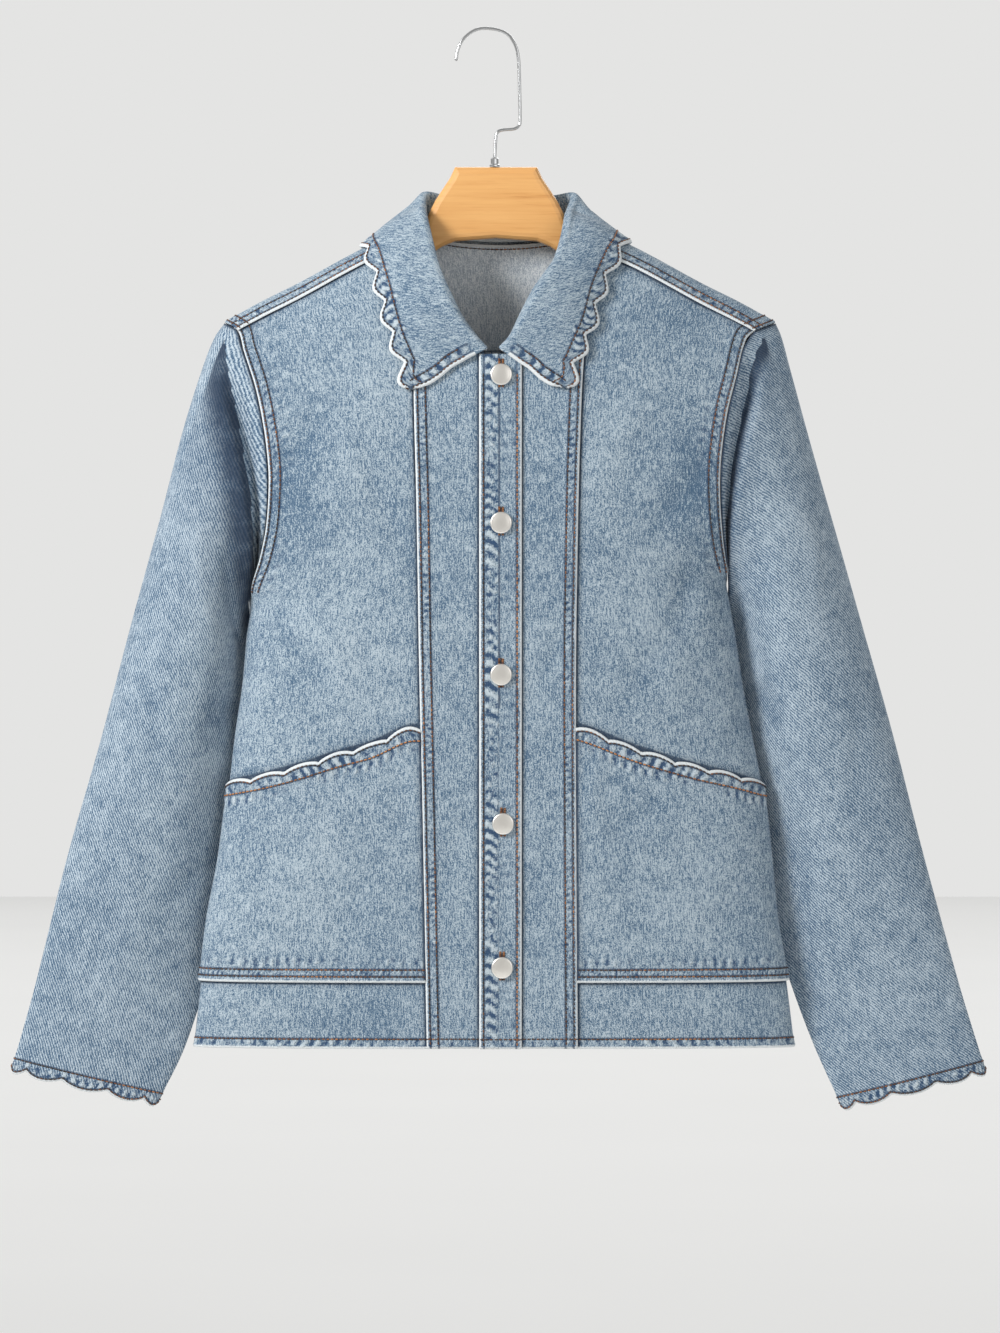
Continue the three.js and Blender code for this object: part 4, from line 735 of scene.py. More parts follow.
def yoke():
    share = spaced(195, 2.7, low=True, high=True)
    halves = []
    for side in SIDE_NAMES:
        corner = 90.0
        while neck_place(corner)[1] < FRONT_SEAM_DROP[side] and corner > 60:
            corner -= 0.02
        turns = np.array([180, 160, 140, 122, 107, 97, 90, lerp(90, corner, 0.4), corner])
        k = np.concatenate([np.linspace(0, 8, 38), 8 + 6 * spaced(140, 2.6, high=True)[1:]])
        turn = np.interp(np.minimum(k, 8), np.arange(9), turns)
        top_x, top_drop = neck_place(turn)
        outer = np.clip((k - 8) / 6, 0, 1)
        arm_back = armhole_at_drop(side, BACK, 72)
        arm_front = armhole_at_drop(side, FRONT, FRONT_SEAM_DROP[side])
        foot = np.where(k <= 8, 74 * k / 8, lerp(74, arm_back, outer))
        top = np.where(k <= 8, top_x, lerp(top_x[-1], arm_front, outer))
        lean = np.where(k <= 8, lean_of(top_drop), lean_of(np.float64(FRONT_SEAM_DROP[side])))
        edge_lean = lerp(lean_of(np.float64(-72)), lean_of(np.float64(FRONT_SEAM_DROP[side])), share)
        edge_drop = drop_of(edge_lean)
        edge_x = np.array([armhole_at_drop(side, FRONT if d >= 0 else BACK, abs(d)) for d in edge_drop])
        straight = lerp(arm_back, arm_front, share)
        x = lerp(foot[None, :], top[None, :], share[:, None])
        x = x + (edge_x - straight)[:, None] * (outer**2)[None, :]
        back_drop = lerp(129, 72, foot / 195)
        leans = lerp(lean_of(-back_drop)[None, :], lean[None, :], share[:, None])
        halves.append((SIGN[side] * x, drop_of(leans)))
    x = np.concatenate([halves[0][0][:, ::-1], halves[1][0][:, 1:]], 1)
    drop = np.concatenate([halves[0][1][:, ::-1], halves[1][1][:, 1:]], 1)
    piece = Piece("yoke", over_shoulder(x, drop, LAYER), (0, 0, 1))
    back = np.where(drop < 0, 1, 0)
    piece.tone += 0.25 * np.sin(x / 37)
    shoulder = smooth(np.abs(x), 66, 74)
    piece.wear("top", (3.2, 9.6), 2.6, 0.25, 0.45, where=shoulder, pitch=8)
    piece.wear("bottom", (3.2, 9.6), 2.9, 0.25, 0.45, pitch=8)
    for edge, seed in (("start", 3.5), ("end", 3.9)):
        piece.wear(edge, (3.2, 10.0), seed, 0.2, 0.4, where=back, pitch=6.5, strength=0.7)
        piece.wear(edge, (3.2, 10.0), seed, 0.2, 0.4, where=1 - back, folded=False, pitch=6.5, strength=0.7)
        piece.sewn(edge, *ARMHOLE_ROWS)
        for distance in ARMHOLE_ROWS:
            stitch(piece, edge, distance, tone=0.3, span=(0.02, 0.98))
    neck_edge = (piece.height - piece.up) / 1.6 + 60 * shoulder
    piece.edge = np.minimum(piece.edge, neck_edge)
    columns = len(x[0])
    first = int(np.argmax(np.abs(x[-1]) < 68)) / columns
    last = 1 - int(np.argmax(np.abs(x[-1][::-1]) < 68)) / columns
    piece.sewn("bottom", *YOKE_ROWS)
    piece.sewn("top", *YOKE_ROWS, where=shoulder)
    for distance in YOKE_ROWS:
        stitch(piece, "bottom", distance, tone=0.35)
        stitch(piece, "top", distance, tone=0.35, span=(0, first - 0.01))
        stitch(piece, "top", distance, tone=0.35, span=(last + 0.01, 1))
    stitch(piece, "top", 3.4, tone=0.4, span=(lerp(first, last, 0.15), lerp(first, last, 0.85)), inside=True)
    pieces["yoke"] = piece


# The collar


def lobes(turns):
    """The waves of the collar's edge: scallops with soft cusps."""
    return 0.4 * scallop(turns) + 0.6 * np.sin(np.pi * turns) ** 2


def rounded_tips(points):
    """Draws the two corners of the collar's edge out and rounds them, each into a lobe."""
    up, across = runs_of(points, 0), runs_of(points, 1)
    down_by, left_by = up[-1:] - up, across
    right_by = across[:, -1:] - across
    down = unit(np.gradient(points, axis=0))
    along = unit(np.gradient(points, axis=1))
    for away, sign in ((left_by, 1), (right_by, -1)):
        u, v = (np.clip(1 - d / LOBE, 0, 1) for d in (away, down_by))
        inward_u, inward_v = u - u * np.sqrt(1 - v * v / 2), v - v * np.sqrt(1 - u * u / 2)
        drawn = 1 - smooth(np.hypot(away, 0.4 * down_by), 4, TIP_REACH)
        out, lower = LOBE * inward_u - TIP_DROP * drawn, -TIP_IN * drawn - LOBE * inward_v
        points = points + along * (sign * out)[..., None] + down * lower[..., None]
    return points


def collar():
    """A short stand up from the neck seam, the roll, and the fall down to the scalloped edge."""
    steps = spaced(520, 1.9, low=True, high=True)
    levels = []
    for side in SIDE_NAMES:
        table = dict(COLLAR_ROWS[side])
        table["lean"] = lean_of(table["edgeDrop"])
        shape = {name: curve(table, "at", name) for name in table if name != "at"}
        share = steps[steps < 0.5] if side == "left" else steps[steps >= 0.5]
        sign = SIGN[side]
        at = 10 * (2 * share if side == "left" else 2 - 2 * share)
        neck_x, neck_drop = neck_place(shape["turn"](at))
        rise = 2.2 * np.sign(neck_drop) * np.abs(np.cos(np.radians(shape["turn"](at))))
        seam = over_shoulder(sign * neck_x * 0.98, neck_drop - rise, LAYER)
        roll = np.stack([sign * shape["rollX"](at), seam[:, 1] - shape["stand"](at), shape["rollZ"](at)], -1)
        away = unit(np.stack([seam[:, 0], seam[:, 1] + 6, 0 * at], -1))
        half = shape["round"](at)[:, None]
        down_a_little = np.array([0, 0, -0.8]) * half
        stand_top, fall_top = roll - away * half + down_a_little, roll + away * half + down_a_little
        hem = over_shoulder(sign * shape["edgeX"](at), drop_of(shape["lean"](at)), COLLAR_LIFT)
        face = np.where(hem[:, 1] < 0, FRONT, BACK)
        out = torso(hem[:, 0], hem[:, 2], face, 1.0) - torso(hem[:, 0], hem[:, 2], face, 0.0)
        down = unit(hem - fall_top)
        end = np.minimum(share, 1 - share) * 58
        rows_here = [seam, lerp(seam, stand_top, 0.5), stand_top, roll, fall_top]
        for k in np.arange(1, 8) / 7:
            point = lerp(fall_top, hem, k)
            point = point + out * (2.5 * math.sin(math.pi * k) * smooth(at, 0, 3))[:, None]
            wave = SCALLOP_HEIGHTS["collar"] * (lobes(lerp(*COLLAR_SCALLOPS, share)) - 0.5)
            point = point + down * (wave * max(0, 2 * k - 1) ** 2)[:, None]
            point[:, 2] -= 1.2 * (scallop(np.float64(k * 2.4)) - 0.6) * np.maximum(0, 1 - end)
            rows_here.append(point)
        levels.append(np.array(rows_here))
    coarse = np.concatenate(levels, 1)
    stations = np.arange(12)
    fall = 4 + 7 * spaced(80, 2.2, high=True)
    fine = np.concatenate([np.linspace(0, 2, 7), np.linspace(2, 4, 13)[1:], fall[1:]])
    points = np.empty((len(fine), coarse.shape[1], 3))
    for i in range(coarse.shape[1]):
        for k in range(3):
            points[:, i, k] = curve({"a": stations.astype(float), "b": coarse[:, i, k]}, "a", "b")(fine)
    points = rounded_tips(points)
    piece = Piece("collar", points, (0, -1, 0))
    probe = piece.normals[-10, len(steps) // 8]
    if probe[1] > 0:
        piece.normals, piece.flipped = -piece.normals, not piece.flipped
    fallen = smooth(fine, 4.2, 5)[:, None] * np.ones(len(steps))
    away, run = piece.from_edge("top")
    dip = SCALLOP_HEIGHTS["collar"] * lobes(lerp(*COLLAR_SCALLOPS, steps))
    piece.even = steps * 520
    piece.wear("top", (3.2, 11.5), 7.3, 0.45, 0.3, where=fallen, strength=1.25, cord=1.35)
    piece.sewn("top", EDGE_ROW, 7.6 + dip, where=fallen)
    for edge, seed in (("start", 7.7), ("end", 7.9)):
        piece.wear(edge, (3.2, 10.5), seed, 0.35, 0.3, where=fallen, strength=1.2, cord=1.35)
        piece.sewn(edge, EDGE_ROW, COLLAR_END_ROW, where=fallen)
    piece.edge = np.where(fine[:, None] < 1.5, np.minimum(piece.edge, piece.up / 2), piece.edge)
    piece.tone += 0.5 * np.exp(-(((fine - 3.4) / 1.2) ** 2))[:, None]
    corner = 10 / 520
    stitch(piece, "top", EDGE_ROW, COLLAR_CLOTH, tone=0.2, span=(0.005, 0.995))
    stitch(piece, "top", 7.6 + dip, COLLAR_CLOTH, tone=0.35, span=(corner, 1 - corner))
    stitch(piece, "bottom", 2.4, COLLAR_CLOTH, tone=0.3, span=(0.2, 0.8), inside=True)
    for edge in ("start", "end"):
        stitch(piece, edge, EDGE_ROW, COLLAR_CLOTH, span=(0.45, 0.985), tone=0.2)
        stitch(piece, edge, COLLAR_END_ROW, COLLAR_CLOTH, span=(0.47, 0.84), tone=0.35)
    pieces["collar"] = piece


# The sleeves


def armhole_ring(side):
    """Points that a sleeve starts at, from its outer edge over the front to the underarm and back."""
    ring = []
    for step in range(31):
        before = step <= 15
        k = step if before else 30 - step
        face = FRONT if before else BACK
        seam = FRONT_SEAM_DROP[side] if face == FRONT else 72
        drops = [0, 2.5, seam - YOKE_LAP, seam] if face == FRONT else [0, 2.5, 10, 32, seam - YOKE_LAP, seam]
        if k < len(drops):
            x = armhole_at_drop(side, face, drops[k])
            z = ridge(x) - drops[k]
        else:
            x_top = armhole_at_drop(side, face, seam)
            i = k - len(drops) + 1
            count = 15 - len(drops) + 1
            share = (1 - math.cos(math.pi * lerp(0.16, 1, i / count))) / 2
            start = (1 - math.cos(math.pi * 0.16)) / 2
            z = lerp(ridge(x_top) - seam, underarm[side], (share - start) / (1 - start))
            x = min(float(armhole[side][face](z)), float(side_seam(side, z, face)))
        near = smooth(k, 11, 15)
        point = torso(x, z, face, 0.5 * LAYER * (1 - near)).reshape(3)
        point[0] += 0.9 + 1.5 * near
        ring.append(point)
    ring = np.array(ring)
    steps = np.arange(31.0)
    return [curve({"a": steps, "b": ring[:, k]}, "a", "b") for k in range(3)]


def sleeve(side):
    shape = {name: curve(SLEEVES[side], "at", name) for name in SLEEVES[side] if name != "at"}
    ring = armhole_ring(side)
    at = spaced(SLEEVE_LENGTH, 2.9, high=True)[:, None]
    turn = np.linspace(0, 2, 153)[None, :]

    def section(at, turn):
        before = turn <= 1
        share = (1 + np.cos(np.pi * np.where(before, turn, 2 - turn))) / 2
        hump = np.maximum(0, np.sin(np.pi * share))
        power = np.where(before, lerp(shape["round"](at), 0.6, smooth(share, 0.1, 0.6)), 0.6)
        bulge = np.where(before, -shape["front"](at), shape["back"](at)) * hump**power
        y = lerp(shape["inY"](at), shape["outY"](at), share) + bulge
        x = lerp(shape["inX"](at), shape["outX"](at), share)
        return np.stack([x, y, lerp(shape["inZ"](at), shape["outZ"](at), share)], -1)

    left = np.maximum(0, 1 - np.sin(np.pi / 2 * np.minimum(1, at / 0.26)))
    offset = np.stack([r(15 * turn) for r in ring], -1) - section(np.zeros_like(turn), turn)
    points = section(at, turn) + offset * left[..., None]
    fold_at, fold_depth, fold_half = SLEEVE_FOLD[side]
    in_fold = smooth(turn, 0.2, 0.4) * (1 - smooth(turn, 0.72, 0.92))
    points[..., 1] += fold_depth * np.exp(-(((at - fold_at) / fold_half) ** 2)) * in_fold
    along = unit(np.gradient(points, axis=0))
    end = smooth(at, 1 - 16 / SLEEVE_LENGTH, 1)
    points = points + along * (SCALLOP_HEIGHTS["cuff"] * scallop(turn * 5) * end)[..., None]
    points[..., 0] *= SIGN[side]
    points[:, -1] = points[:, 0]
    piece = Piece(f"sleeve {side}", points, (0, -1, 0), wrap=True)
    table = dict(SLEEVE_CREASES[side])
    for name in ("x0", "x1"):
        table[name] = table[name] * SLEEVE_LENGTH
    for name in ("z0", "z1"):
        table[name] = table[name] * 190
    swell = creases(table, at * SLEEVE_LENGTH, turn * 190) * smooth(at, 0.06, 0.14)
    piece.lift += swell
    # Painted shading of the creases: darker in the troughs, paler on the ridges.
    piece.tone += swell / 2.2
    dip = SCALLOP_HEIGHTS["cuff"] * scallop(turn[0] * 5)
    piece.even = 190 * turn
    piece.wear("top", (2.4, 9.0), 9.1, 0.45, 0.3, pitch=8.5, strength=1.3)
    piece.sewn("top", CUFF_ROW, 6.6 + dip)
    axis = unit(np.array([(points[-1].mean(0) - points[0].mean(0))[k] for k in (0, 1, 2)]))
    steps = np.diff(points, axis=1)
    level = np.sqrt(np.maximum(0, (steps**2).sum(-1) - (steps @ axis) ** 2))
    around = np.pad(np.cumsum(level, 1), ((0, 0), (1, 0)))
    around = around - around[:, 38][:, None]
    piece.flat = [around * (-1 if piece.flipped else 1), points @ axis]
    # Painted shadow of the body's edge on the sleeve beside the armhole seam, with the indigo it protected.
    piece.under(piece.up + 0.6)
    # Painted shade in the fold beside the front of the armhole, sharp on its body side.
    near_from, far_from, fade = FOLD_SHADE[side]
    past = piece.up - lerp(near_from, far_from, smooth(turn, 0.05, 0.5))
    beside = smooth(turn, 0.06, 0.18) * (1 - smooth(turn, 0.86, 1.0))
    piece.under(np.where(past > -0.5, np.maximum(past, 0) * fade, 60) + 12 * (1 - beside))
    # Painted shade down the sleeve's inner flank, in the gap beside the body.
    seam = np.minimum(np.abs(turn - 1), 9) * 190 * (0.4 + 0.6 * (1 - at)) + 0 * at
    piece.lap = np.minimum(piece.lap, np.where(at > 0.12, seam * 2.5 + 1.5, 60))
    stitch(piece, "top", CUFF_ROW, tone=0.3)
    stitch(piece, "top", 6.6 + dip, tone=0.4)
    piece.lift[:, -1] = piece.lift[:, 0]
    pieces[piece.name] = piece


for side in SIDE_NAMES:
    front_panel(side)
    strip(side)
    hem_band(side)
    pocket(side)
    sleeve(side)
back_panel()
back_band()
yoke()
collar()
placket("placket top", PLACKET_LEFT, PLACKET_RIGHT, 2 * LAYER, True)
placket("placket under", PLACKET_LEFT + STRIP_TUCK + GAP, PLACKET_RIGHT, LAYER, False)


# Materials


def linear(code, alpha=1.0):
    """An sRGB hex colour as linear light."""
    parts = [int(code[i : i + 2], 16) / 255 for i in (1, 3, 5)]
    return (*(c / 12.92 if c <= 0.04045 else ((c + 0.055) / 1.055) ** 2.4 for c in parts), alpha)


def add(tree, kind, sockets=(), **settings):
    """Adds a node. Its sockets are given by name or place, as values or as other nodes' outputs."""
    made = tree.nodes.new("ShaderNode" + kind)
    for name, value in settings.items():
        setattr(made, name, value)
    for place, value in dict(sockets).items():
        if isinstance(value, bpy.types.NodeSocket):
            tree.links.new(value, made.inputs[place])
        else:
            made.inputs[place].default_value = value
    return made


def finish_of(name):
    material = bpy.data.materials.new(name)
    material.use_nodes = True
    return material, material.node_tree, material.node_tree.nodes["Principled BSDF"]


# Noises of the denim: how many to a millimetre, how the cloth's two ways stretch it, and where it starts.
DENIM_NOISES = {
    # Yarns are uneven: thick places 0.8 mm wide run for 6 to 12 mm along the warp.
    "slub": dict(scale=1.0, detail=2, rough=0.55, stretch=(1.15, 0.13, 1), start=0.0),
    # The wash leaves a salt-and-pepper mottle of yarn tops, drawn 0.7 mm apart to show at this distance.
    "grain": dict(scale=1.5, detail=2, rough=0.75, stretch=(1, 0.72, 1), start=31.0),
    "blotch": dict(scale=0.075, detail=3, rough=0.55, stretch=(1, 0.8, 1), start=12.0),
    "cloud": dict(scale=0.014, detail=2, rough=0.55, stretch=(1, 1, 1), start=57.0),
    "patch": dict(scale=0.24, detail=3, rough=0.6, stretch=(1, 1, 1), start=5.0),
    "wobble": dict(scale=0.12, detail=2, rough=0.55, stretch=(1, 1, 1), start=0.0),
}
WEAR_AND_SHADE = ("tone", "edge", "lap", "band", "pucker", "row_a", "row_b")
TWILL_PITCH = 1.9  # real twill lines are 0.6 mm apart, and at 1.9 mm they just show


def denim(name, tones, twill, twill_tilt, mottle=1.0):
    """Stonewashed cotton denim, a right-hand twill of indigo warp over pale weft. Rubbed nearly white
    on folded edges, darker beside another piece that lies over it from painted shadow and the indigo it
    protected, with painted groove shade and protected indigo under each row of stitches, and blotched along
    every seam where the shrinking thread puckered it before the wash."""
    material, tree, shader = finish_of(name)
    cloth = add(tree, "UVMap", uv_map="cloth").outputs[0]
    in_mm = add(tree, "VectorMath", {0: cloth, "Scale": 1000.0}, operation="SCALE").outputs[0]
    noise = {}
    for key, made in DENIM_NOISES.items():
        placing = {"Vector": in_mm, "Scale": made["stretch"], "Location": (made["start"],) * 3}
        sockets = {"Scale": made["scale"], "Detail": made["detail"], "Roughness": made["rough"]}
        sockets["Vector"] = add(tree, "Mapping", placing).outputs[0]
        noise[key] = add(tree, "TexNoise", sockets).outputs[0]
    worn_and_shaded = {}
    for key in WEAR_AND_SHADE:
        worn_and_shaded[key] = add(tree, "Attribute", attribute_name=key, attribute_type="GEOMETRY").outputs["Fac"]

    # The twill's diagonal lines, a little wavy.
    tilt = math.radians(twill_tilt)
    across = (math.cos(tilt) / TWILL_PITCH, math.sin(tilt) / TWILL_PITCH, 0)
    phase = add(tree, "VectorMath", {0: in_mm, 1: across}, operation="DOT_PRODUCT").outputs["Value"]
    phase = add(tree, "Math", {0: noise["wobble"], 1: 1.2, 2: phase}, operation="MULTIPLY_ADD").outputs[0]
    phase = add(tree, "Math", {0: phase, 1: 2 * math.pi}, operation="MULTIPLY").outputs[0]
    line = add(tree, "Math", {0: phase}, operation="SINE").outputs[0]

    # The cloth's colour, from indigo to bleached, with the painted shading that the tone attribute brings.
    value = 0.5
    for key, much in (("grain", 4.2 * mottle), ("slub", 2.4 * mottle), ("blotch", 0.7), ("cloud", 0.4)):
        swing = add(tree, "Math", {0: noise[key], 1: 0.5}, operation="SUBTRACT").outputs[0]
        value = add(tree, "Math", {0: swing, 1: much, 2: value}, operation="MULTIPLY_ADD").outputs[0]
    for source, much in ((line, twill), (worn_and_shaded["tone"], 0.2)):
        value = add(tree, "Math", {0: source, 1: much, 2: value}, operation="MULTIPLY_ADD").outputs[0]
    ramp = add(tree, "ValToRGB", {0: value})
    stops = ramp.color_ramp.elements
    dark, middle, light = (linear(tone) for tone in tones)
    stops[0].position, stops[0].color = 0.12, dark
    stops[1].position, stops[1].color = 0.9, light
    stops.new(0.5).color = middle

    # Puckers: a ripple broken up into patches. Worn edge: ragged by the grain. Needle line: painted shade of
    # the stitch groove, with the indigo that stays under each row of stitches. Fresh: beside a piece that
    # lies over it, painted shadow darkens the cloth for 2 mm, and the indigo that piece protected leaves it
    # dusky for 6 mm, unevenly.
    swing = add(tree, "Math", {0: noise["patch"], 1: 0.5}, operation="SUBTRACT").outputs[0]
    swing = add(tree, "Math", {0: swing, 1: 3.6}, operation="MULTIPLY").outputs[0]
    sockets = {0: swing, 1: worn_and_shaded["band"], 2: worn_and_shaded["pucker"]}
    pucker = add(tree, "Math", sockets, operation="MULTIPLY_ADD").outputs[0]
    sockets = {0: noise["grain"], 1: -1.0, 2: worn_and_shaded["edge"]}
    ragged = add(tree, "Math", sockets, operation="MULTIPLY_ADD").outputs[0]
    both = (worn_and_shaded["row_a"], worn_and_shaded["row_b"])
    rows_by = [add(tree, "Math", {0: row}, operation="ABSOLUTE").outputs[0] for row in both]
    row_by = add(tree, "Math", dict(enumerate(rows_by)), operation="MINIMUM").outputs[0]
    share = {}
    for key, source, low, high, to_low, to_high in (
        ("dip", pucker, 0.0, -0.75, 0.0, 1.0),
        ("crest", pucker, 0.1, 0.8, 0.0, 1.0),
        ("dark", worn_and_shaded["lap"], 3.0, 1.2, 0.0, 0.62),
        ("dusky", worn_and_shaded["lap"], 8.0, 0.5, 0.0, 0.32),
        ("uneven", noise["blotch"], 0.2, 0.6, 0.7, 1.0),
        ("rub", ragged, 1.25, 0.4, 0.0, 1.0),
        ("groove_shade_and_dye", row_by, 1.3, 0.45, 0.0, 1.0),
    ):
        sockets = {0: source, 1: low, 2: high, 3: to_low, 4: to_high}
        share[key] = add(tree, "MapRange", sockets, interpolation_type="SMOOTHSTEP").outputs[0]
    shade_and_fresh_dye = add(tree, "Math", {0: share["dark"], 1: share["dusky"]}, operation="ADD").outputs[0]
    share["shade_and_fresh_dye"] = add(tree, "Math", {0: shade_and_fresh_dye, 1: share["uneven"]}, operation="MULTIPLY").outputs[0]
    colour = ramp.outputs[0]
    # The fresh and needle mixes below paint shadow and groove shade into the colour, along with protected
    # indigo.
    for key, much, tint in (
        ("crest", 0.7, "#C0CBD1"), ("dip", 0.92, "#274262"), ("shade_and_fresh_dye", 1.0, "#203147"),
        ("rub", 0.9, "#DADEDF"), ("groove_shade_and_dye", 0.72, "#2C3E57"),
    ):
        factor = add(tree, "Math", {0: share[key], 1: much}, operation="MULTIPLY").outputs[0]
        colour = add(tree, "Mix", {0: factor, 6: colour, 7: linear(tint)}, data_type="RGBA").outputs[2]
    tree.links.new(colour, shader.inputs["Base Color"])
    shader.inputs["Roughness"].default_value = 0.92
    shader.inputs["Specular IOR Level"].default_value = 0.25
    shader.inputs["Sheen Weight"].default_value = 0.12
    shader.inputs["Sheen Roughness"].default_value = 0.5

    height = add(tree, "Math", {0: noise["grain"], 1: 0.5}, operation="MULTIPLY").outputs[0]
    line_height = 0.16 if twill > 0.06 else 0.08
    for source, much in ((line, line_height), (noise["slub"], 0.3), (share["crest"], 0.9)):
        height = add(tree, "Math", {0: source, 1: much, 2: height}, operation="MULTIPLY_ADD").outputs[0]
    relief = add(tree, "Bump", {"Strength": 0.9, "Distance": 0.0006, "Height": height})
    tree.links.new(relief.outputs[0], shader.inputs["Normal"])
    return material


def sewing_thread():
    """Core-spun polyester topstitching thread, 0.5 mm thick, dyed tan. The wash left it dark brown
    in some runs and orange in others, with a faint silky sheen."""
    material, tree, shader = finish_of("topstitching thread")
    tone = add(tree, "Attribute", attribute_name="tone", attribute_type="GEOMETRY").outputs["Fac"]
    ramp = add(tree, "ValToRGB", {0: tone})
    stops = ramp.color_ramp.elements
    # Tone 0, dark navy, colours the needle-hole patches of the stitches: painted shade.
    stops[0].position, stops[0].color = 0.0, linear("#1B2430")
    stops[1].position, stops[1].color = 0.95, linear("#B67A45")
    stops.new(0.12).color = linear("#30241B")
    stops.new(0.5).color = linear("#6B432A")
    tree.links.new(ramp.outputs[0], shader.inputs["Base Color"])
    shader.inputs["Roughness"].default_value = 0.6
    return material


def satin_nickel():
    """Brass cap plated with nickel and tumbled satin: pale, faintly warm, with soft broad highlights."""
    material, tree, shader = finish_of("satin nickel plate")
    place = add(tree, "TexCoord").outputs["Object"]
    # Fine tumbling marks, about 0.3 mm apart.
    marks = add(tree, "TexNoise", {"Vector": place, "Scale": 3000.0, "Detail": 2.0}).outputs[0]
    tone = add(tree, "MapRange", {0: marks, 3: 0.30, 4: 0.42}).outputs[0]
    tree.links.new(tone, shader.inputs["Roughness"])
    shader.inputs["Base Color"].default_value = linear("#F3EFE8")
    shader.inputs["Metallic"].default_value = 1.0
    return material


def bright_wire():
    """Steel wire with bright zinc plating: cool, mirror-like with a slight drawn haze."""
    material, tree, shader = finish_of("bright plated steel wire")
    place = add(tree, "TexCoord").outputs["Object"]
    haze = add(tree, "TexNoise", {"Vector": place, "Scale": 900.0, "Detail": 2.0}).outputs[0]
    tone = add(tree, "MapRange", {0: haze, 3: 0.14, 4: 0.26}).outputs[0]
    tree.links.new(tone, shader.inputs["Roughness"])
    shader.inputs["Base Color"].default_value = linear("#C2C3C4")
    shader.inputs["Metallic"].default_value = 1.0
    return material


def varnished_lotus_wood():
    """Planed lotus wood under thin satin varnish: warm honey, with fine darker grain lines that run
    nearly level, 4 to 8 mm apart."""
    material, tree, shader = finish_of("varnished lotus wood")
    place = add(tree, "TexCoord").outputs["Object"]
    grain_at = add(tree, "Mapping", {"Vector": place, "Scale": (9, 40, 260), "Rotation": (0, 0.09, 0)})
    sockets = {"Vector": grain_at.outputs[0], "Scale": 1.0, "Detail": 4.0, "Roughness": 0.6}
    grain = add(tree, "TexNoise", sockets)
    pore_at = add(tree, "Mapping", {"Vector": place, "Scale": (60, 500, 2400), "Rotation": (0, 0.09, 0)})
    pores = add(tree, "TexNoise", {"Vector": pore_at.outputs[0], "Scale": 1.0, "Detail": 2.0})
    ramp = add(tree, "ValToRGB", {0: grain.outputs[0]})
    stops = ramp.color_ramp.elements
    stops[0].position, stops[0].color = 0.31, linear("#BE8244")
    stops[1].position, stops[1].color = 0.62, linear("#DDA868")
    stops.new(0.41).color = linear("#D69E5E")
    dots = add(tree, "MapRange", {0: pores.outputs[0], 1: 0.62, 2: 0.75, 3: 0.0, 4: 0.35}).outputs[0]
    sockets = {0: dots, 6: ramp.outputs[0], 7: linear("#B97B3C")}
    colour = add(tree, "Mix", sockets, data_type="RGBA").outputs[2]
    tree.links.new(colour, shader.inputs["Base Color"])
    shader.inputs["Roughness"].default_value = 0.42
    relief = add(tree, "Bump", {"Strength": 0.25, "Distance": 0.0002, "Height": pores.outputs[0]})
    tree.links.new(relief.outputs[0], shader.inputs["Normal"])
    return material


BODY_TONES = ("#466079", "#7F92A1", "#ACB9C2")
body_denim = denim("stonewashed denim of the body", BODY_TONES, 0.06, 35)
sleeve_denim = denim("stonewashed denim of the sleeves", ("#3F5973", "#7C8F9F", "#B1BEC8"), 0.36, 36, 0.62)
# The reverse is pale, and its tones are raised further as painted light, standing in for light that barely
# reaches inside.
pale_reverse_with_painted_light = denim("reverse of the denim", ("#A6B2BE", "#D0D8DF", "#ECF0F2"), 0.05, 148, 0.9)
thread = sewing_thread()
nickel = satin_nickel()
wire = bright_wire()
wood = varnished_lotus_wood()


# Meshes


def hung(points):
    """Points about the jacket, in millimetres, as metres about the hook."""
    return (np.asarray(points) - np.array(CROWN)) / 1000


def mesh_of(name, points, faces, materials, values=(), uvs=None):
    mesh = bpy.data.meshes.new(name)
    mesh.from_pydata(hung(points).tolist(), [], faces)
    for key, numbers in dict(values).items():
        kept = mesh.attributes.new(key, "FLOAT", "POINT").data
        kept.foreach_set("value", np.ravel(numbers).astype(np.float32))
    if uvs is not None:
        corners = np.empty(len(mesh.loops), np.int32)
        mesh.loops.foreach_get("vertex_index", corners)
        layer = mesh.uv_layers.new(name="cloth")
        layer.data.foreach_set("uv", uvs(corners).astype(np.float32).ravel())
    mesh.polygons.foreach_set("use_smooth", np.ones(len(mesh.polygons), bool))
    mesh.update()
    made = bpy.data.objects.new(name, mesh)
    for material in materials:
        mesh.materials.append(material)
    bpy.context.collection.objects.link(made)
    return made


